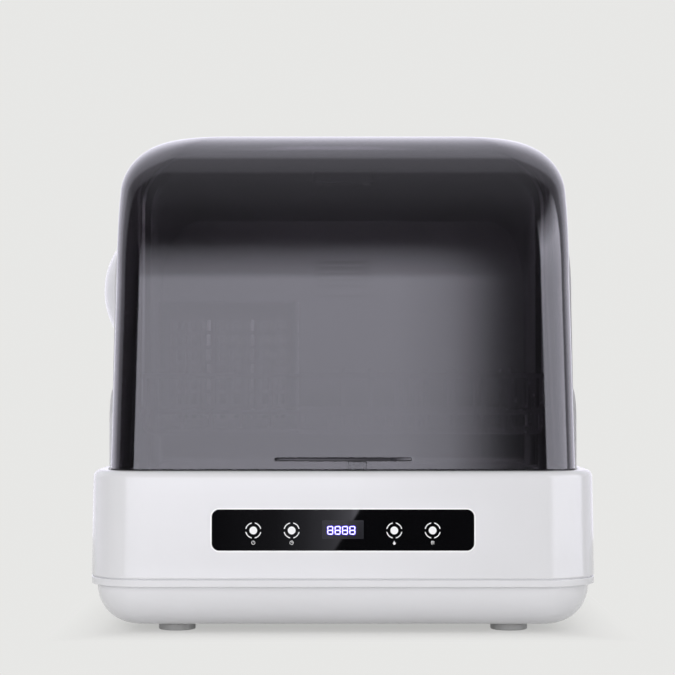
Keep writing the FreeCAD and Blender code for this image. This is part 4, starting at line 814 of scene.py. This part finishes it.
def visor():
    skirt = [LID_FOOT, LID_FOOT + 2 * RIM_BEVEL]
    skirt += [LID_FOOT + (HINGE.z - LID_FOOT) * step / SKIRT_STEPS
              for step in range(1, SKIRT_STEPS)]
    skirt.append(HINGE.z - BESIDE)
    rings = [lid_section(0, height) for height in skirt]
    rings += [lid_section(turn, HINGE.z + LID_RISE * math.sin(turn))
              for turn in quarter(DOME_STEPS)]
    bm, _, end = loft(rings, closed=False)
    corner = bm.verts.new((0, HINGE.y, lid_high.z))
    bmesh.ops.contextual_create(bm, geom=end + [corner])
    bmesh.ops.mirror(bm, geom=bm.verts[:] + bm.edges[:] + bm.faces[:], axis="X",
                     merge_dist=MIRROR_WELD)
    return bm


lid = piece_from(visor(), "visor", "lid", finishes["smoked_lid"], SHARP_FROM)
thick = lid.modifiers.new("wall", "SOLIDIFY")
thick.thickness = WALL
thick.offset = -1
thick.use_even_offset = True
rim = lid.modifiers.new("rim", "BEVEL")
rim.width = RIM_BEVEL
rim.segments = RIM_SEGMENTS
rim.limit_method = "ANGLE"
rim.angle_limit = math.radians(SHARP_FROM)
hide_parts("lid_shell")

# %% [markdown]
# ## The pivot discs
#
# The lid turns on two pins. A thick disc on each side wall carries the pin, and fills the gap
# between the tapered wall and the hinge arm. It could be part of the visor, but as a short rod
# with bevelled edges it is quick to make and keeps the visor's skin clean.

# %% Pivot discs
DISC_RADIUS = 26 * MM
DISC_CLEAR = 0.05 * MM
DISC_INNER = LID_HALF - LID_TAPER + DISC_CLEAR
DISC_SEGMENTS = 72
DISC_BEVEL = 0.6 * MM


def pivot_discs():
    bm = bmesh.new()
    for side in (-1, 1):
        add_rod(bm, DISC_RADIUS, (side * DISC_INNER, HINGE.y, HINGE.z), (side, 0, 0),
                LID_HALF - DISC_INNER, DISC_SEGMENTS)
    sharp = [edge for edge in bm.edges if edge.calc_face_angle(0) > math.radians(SHARP_FROM)]
    bmesh.ops.bevel(bm, geom=sharp, affect="EDGES", offset=DISC_BEVEL, segments=2, profile=0.5,
                    material=-1)
    return bm


piece_from(pivot_discs(), "pivot_discs", "lid", finishes["dark_plastic"])

# %% [markdown]
# ## The marks on the control glass
#
# Four touch keys are printed on the glass. Each is a white dot inside a ring of four arcs, with a
# small sign below it: a power sign, a clock, a drop and three bars. They could be a texture, but
# thin raised shapes stay sharp at any size and belong to the mesh itself. Each arc is
# a small rectangle that is spun about its key.

# %% Key marks
GLASS_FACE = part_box("control_glass")[0].y
INK = 0.06 * MM
KEYS = (-74.8 * MM, -42.8 * MM, 42.8 * MM, 74.8 * MM)
KEY_HIGH = 88.8 * MM
DOT_RADIUS = 3.25 * MM
DOT_SEGMENTS = 40
ARC_RADIUS = 6.3 * MM
ARC_WIDE = 0.8 * MM
ARC_SPAN = 66
ARC_MIDDLES = (45, 135, 225, 315)

SIGN_HIGH = 78.6 * MM
POWER_RADIUS, POWER_LINE = 1.4 * MM, 0.4 * MM
POWER_START, POWER_SPAN = 125, 290
POWER_BAR, POWER_BAR_UP = 1.8 * MM, 1.0 * MM
CLOCK_RADIUS, CLOCK_LINE = 1.5 * MM, 0.35 * MM
CLOCK_SPAN, CLOCK_STEPS = 359.9, 28
CLOCK_LONG_HAND, CLOCK_SHORT_HAND = 1.2 * MM, 1.1 * MM
CLOCK_HAND_UP, CLOCK_HAND_RIGHT = 0.5 * MM, 0.45 * MM
DROP_RADIUS, DROP_DOWN = 1.15 * MM, 0.5 * MM
TIP_RADIUS, TIP_UP, TIP_SIDES = 0.85 * MM, 0.75 * MM, 3
BARS_TALL, BARS_LINE, BARS_PITCH = 3.0 * MM, 0.45 * MM, 1.0 * MM


def ink_disc(bm, x, z, radius, segments=32):
    add_rod(bm, radius, (x, GLASS_FACE, z), (0, -1, 0), INK, segments)


def ink_arc(bm, x, z, radius, wide, start, span, steps=14):
    """A flat band round a centre, from a start angle over a span in degrees."""
    first = Vector((math.cos(math.radians(start)), 0, math.sin(math.radians(start))))
    centre = Vector((x, GLASS_FACE, z))
    near, far = radius - wide / 2, radius + wide / 2
    lift = Vector((0, -INK, 0))
    corners = [centre + first * near, centre + first * far, centre + first * far + lift,
               centre + first * near + lift]
    ring = first_ring(bm, corners)
    edges = [bm.edges.get(pair) for pair in pairs(ring, True)]
    bmesh.ops.contextual_create(bm, geom=ring)
    turned = bmesh.ops.spin(bm, geom=edges, cent=centre, axis=(0, -1, 0),
                            angle=math.radians(span), steps=steps)
    last = [item for item in turned["geom_last"] if isinstance(item, bmesh.types.BMEdge)]
    bmesh.ops.contextual_create(bm, geom=last)


def ink_bar(bm, x, z, long, wide, upright, lift=INK, face=GLASS_FACE):
    """A bar with pointed ends: a six-sided disc whose halves are pulled apart."""
    made = bmesh.ops.create_circle(bm, cap_ends=True, segments=6, radius=wide / math.sqrt(3))
    for vert in made["verts"]:
        along = vert.co.x + math.copysign((long - wide) / 2, vert.co.x)
        flat = (vert.co.y, along) if upright else (along, vert.co.y)
        vert.co = Vector((x + flat[0], face, z + flat[1]))
    flat_side = made["verts"][0].link_faces[0]
    grown = bmesh.ops.extrude_face_region(bm, geom=[flat_side], use_keep_orig=True)["geom"]
    moved = [item for item in grown if isinstance(item, bmesh.types.BMVert)]
    bmesh.ops.translate(bm, verts=moved, vec=(0, -lift, 0))


def key_marks():
    bm = bmesh.new()
    for x in KEYS:
        ink_disc(bm, x, KEY_HIGH, DOT_RADIUS, DOT_SEGMENTS)
        for middle in ARC_MIDDLES:
            ink_arc(bm, x, KEY_HIGH, ARC_RADIUS, ARC_WIDE, middle - ARC_SPAN / 2, ARC_SPAN)
    power, clock, drop, bars = KEYS
    ink_arc(bm, power, SIGN_HIGH, POWER_RADIUS, POWER_LINE, POWER_START, POWER_SPAN)
    ink_bar(bm, power, SIGN_HIGH + POWER_BAR_UP, POWER_BAR, POWER_LINE, True)
    ink_arc(bm, clock, SIGN_HIGH, CLOCK_RADIUS, CLOCK_LINE, 0, CLOCK_SPAN, CLOCK_STEPS)
    ink_bar(bm, clock, SIGN_HIGH + CLOCK_HAND_UP, CLOCK_LONG_HAND, CLOCK_LINE, True)
    ink_bar(bm, clock + CLOCK_HAND_RIGHT, SIGN_HIGH, CLOCK_SHORT_HAND, CLOCK_LINE, False)
    ink_disc(bm, drop, SIGN_HIGH - DROP_DOWN, DROP_RADIUS)
    ink_disc(bm, drop, SIGN_HIGH + TIP_UP, TIP_RADIUS, TIP_SIDES)
    for shift in (-1, 0, 1):
        ink_bar(bm, bars + shift * BARS_PITCH, SIGN_HIGH, BARS_TALL, BARS_LINE, True)
    return bm


ink = plastic("white_print", (0.93, 0.93, 0.94), 0.4, bump=0, spread=0.01)
piece_from(key_marks(), "key_marks", "cabinet", ink)

# %% [markdown]
# ## The four digits
#
# A light block behind the glass shows four digits. Each has seven bars. The light spreads a little
# in the glass, so every white bar has a violet edge. A wider bar with a violet light lies under
# each white one, and a grey window lies under all of them.

# %% Digits
DIGITS = 4
DIGIT_LEFT = -10.6 * MM
DIGIT_PITCH = 6.15 * MM
DIGIT_WIDE = 4.1 * MM
DIGIT_TALL = 6.3 * MM
DIGIT_HIGH = 88.9 * MM
BAR_WIDE = 0.75 * MM
GLOW_WIDE = 1.7 * MM
LEVEL_GAP = 0.5 * MM
UPRIGHT_GAP = 0.3 * MM
GLOW_LIFT = 0.05 * MM
BAR_LIFT = 0.10 * MM
WINDOW_CORNER = 0.8 * MM
WINDOW_LIFT = 0.02 * MM
WINDOW_DEPTH = 0.3 * MM


def digits(wide, lift):
    """Four eights of seven bars each. Wider bars are longer by as much."""
    bm = bmesh.new()
    side = DIGIT_WIDE / 2
    half = DIGIT_TALL / 2
    longer = wide - BAR_WIDE
    for index in range(DIGITS):
        x = DIGIT_LEFT + index * DIGIT_PITCH
        for level in (-half, 0, half):
            ink_bar(bm, x, DIGIT_HIGH + level, DIGIT_WIDE - LEVEL_GAP + longer, wide, False, lift)
        for across in (-side, side):
            for level in (-half / 2, half / 2):
                ink_bar(bm, x + across, DIGIT_HIGH + level, half - UPRIGHT_GAP + longer, wide,
                        True, lift)
    return bm


def glowing(name, colour, strength):
    material = plastic(name, colour, 0.4, bump=0, spread=0.02)
    shader_of(material).inputs["Emission Color"].default_value = (*colour, 1)
    shader_of(material).inputs["Emission Strength"].default_value = strength
    return material


window_low, window_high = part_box("display_module")
window = upright_block(window_low.x, window_high.x, window_low.z, window_high.z, WINDOW_CORNER,
                       GLASS_FACE - WINDOW_LIFT, GLASS_FACE + WINDOW_DEPTH)
piece_from(window, "display_window", "cabinet",
           plastic("window_print", (0.018, 0.018, 0.022), 0.05, bump=0))
piece_from(digits(GLOW_WIDE, GLOW_LIFT), "digit_glow", "cabinet",
           glowing("violet_light", (0.10, 0.045, 0.80), 0.55))
piece_from(digits(BAR_WIDE, BAR_LIFT), "digits", "cabinet",
           glowing("white_light", (0.88, 0.86, 1.0), 0.9))

# %% [markdown]
# ## The catch's frame
#
# A small catch sits behind the middle of the lid's foot. On the outside a raised frame, open at
# the bottom, shows where to press. Three bars on the lid's front face make it.

# %% Catch frame
catch_low, catch_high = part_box("lid_catch")
FRAME_WIDE = 0.7 * MM
FRAME_LIFT = 0.25 * MM


def catch_frame():
    bm = bmesh.new()
    middle = (catch_low.x + catch_high.x) / 2
    tall = catch_high.z - LID_FOOT - 2 * RIM_BEVEL
    ink_bar(bm, middle, catch_high.z, catch_high.x - catch_low.x, FRAME_WIDE, False, FRAME_LIFT,
            LID_FRONT)
    for x in (catch_low.x, catch_high.x):
        ink_bar(bm, x, catch_high.z - tall / 2, tall, FRAME_WIDE, True, FRAME_LIFT, LID_FRONT)
    return bm


piece_from(catch_frame(), "catch_frame", "lid", own_finishes["lid_handle"])
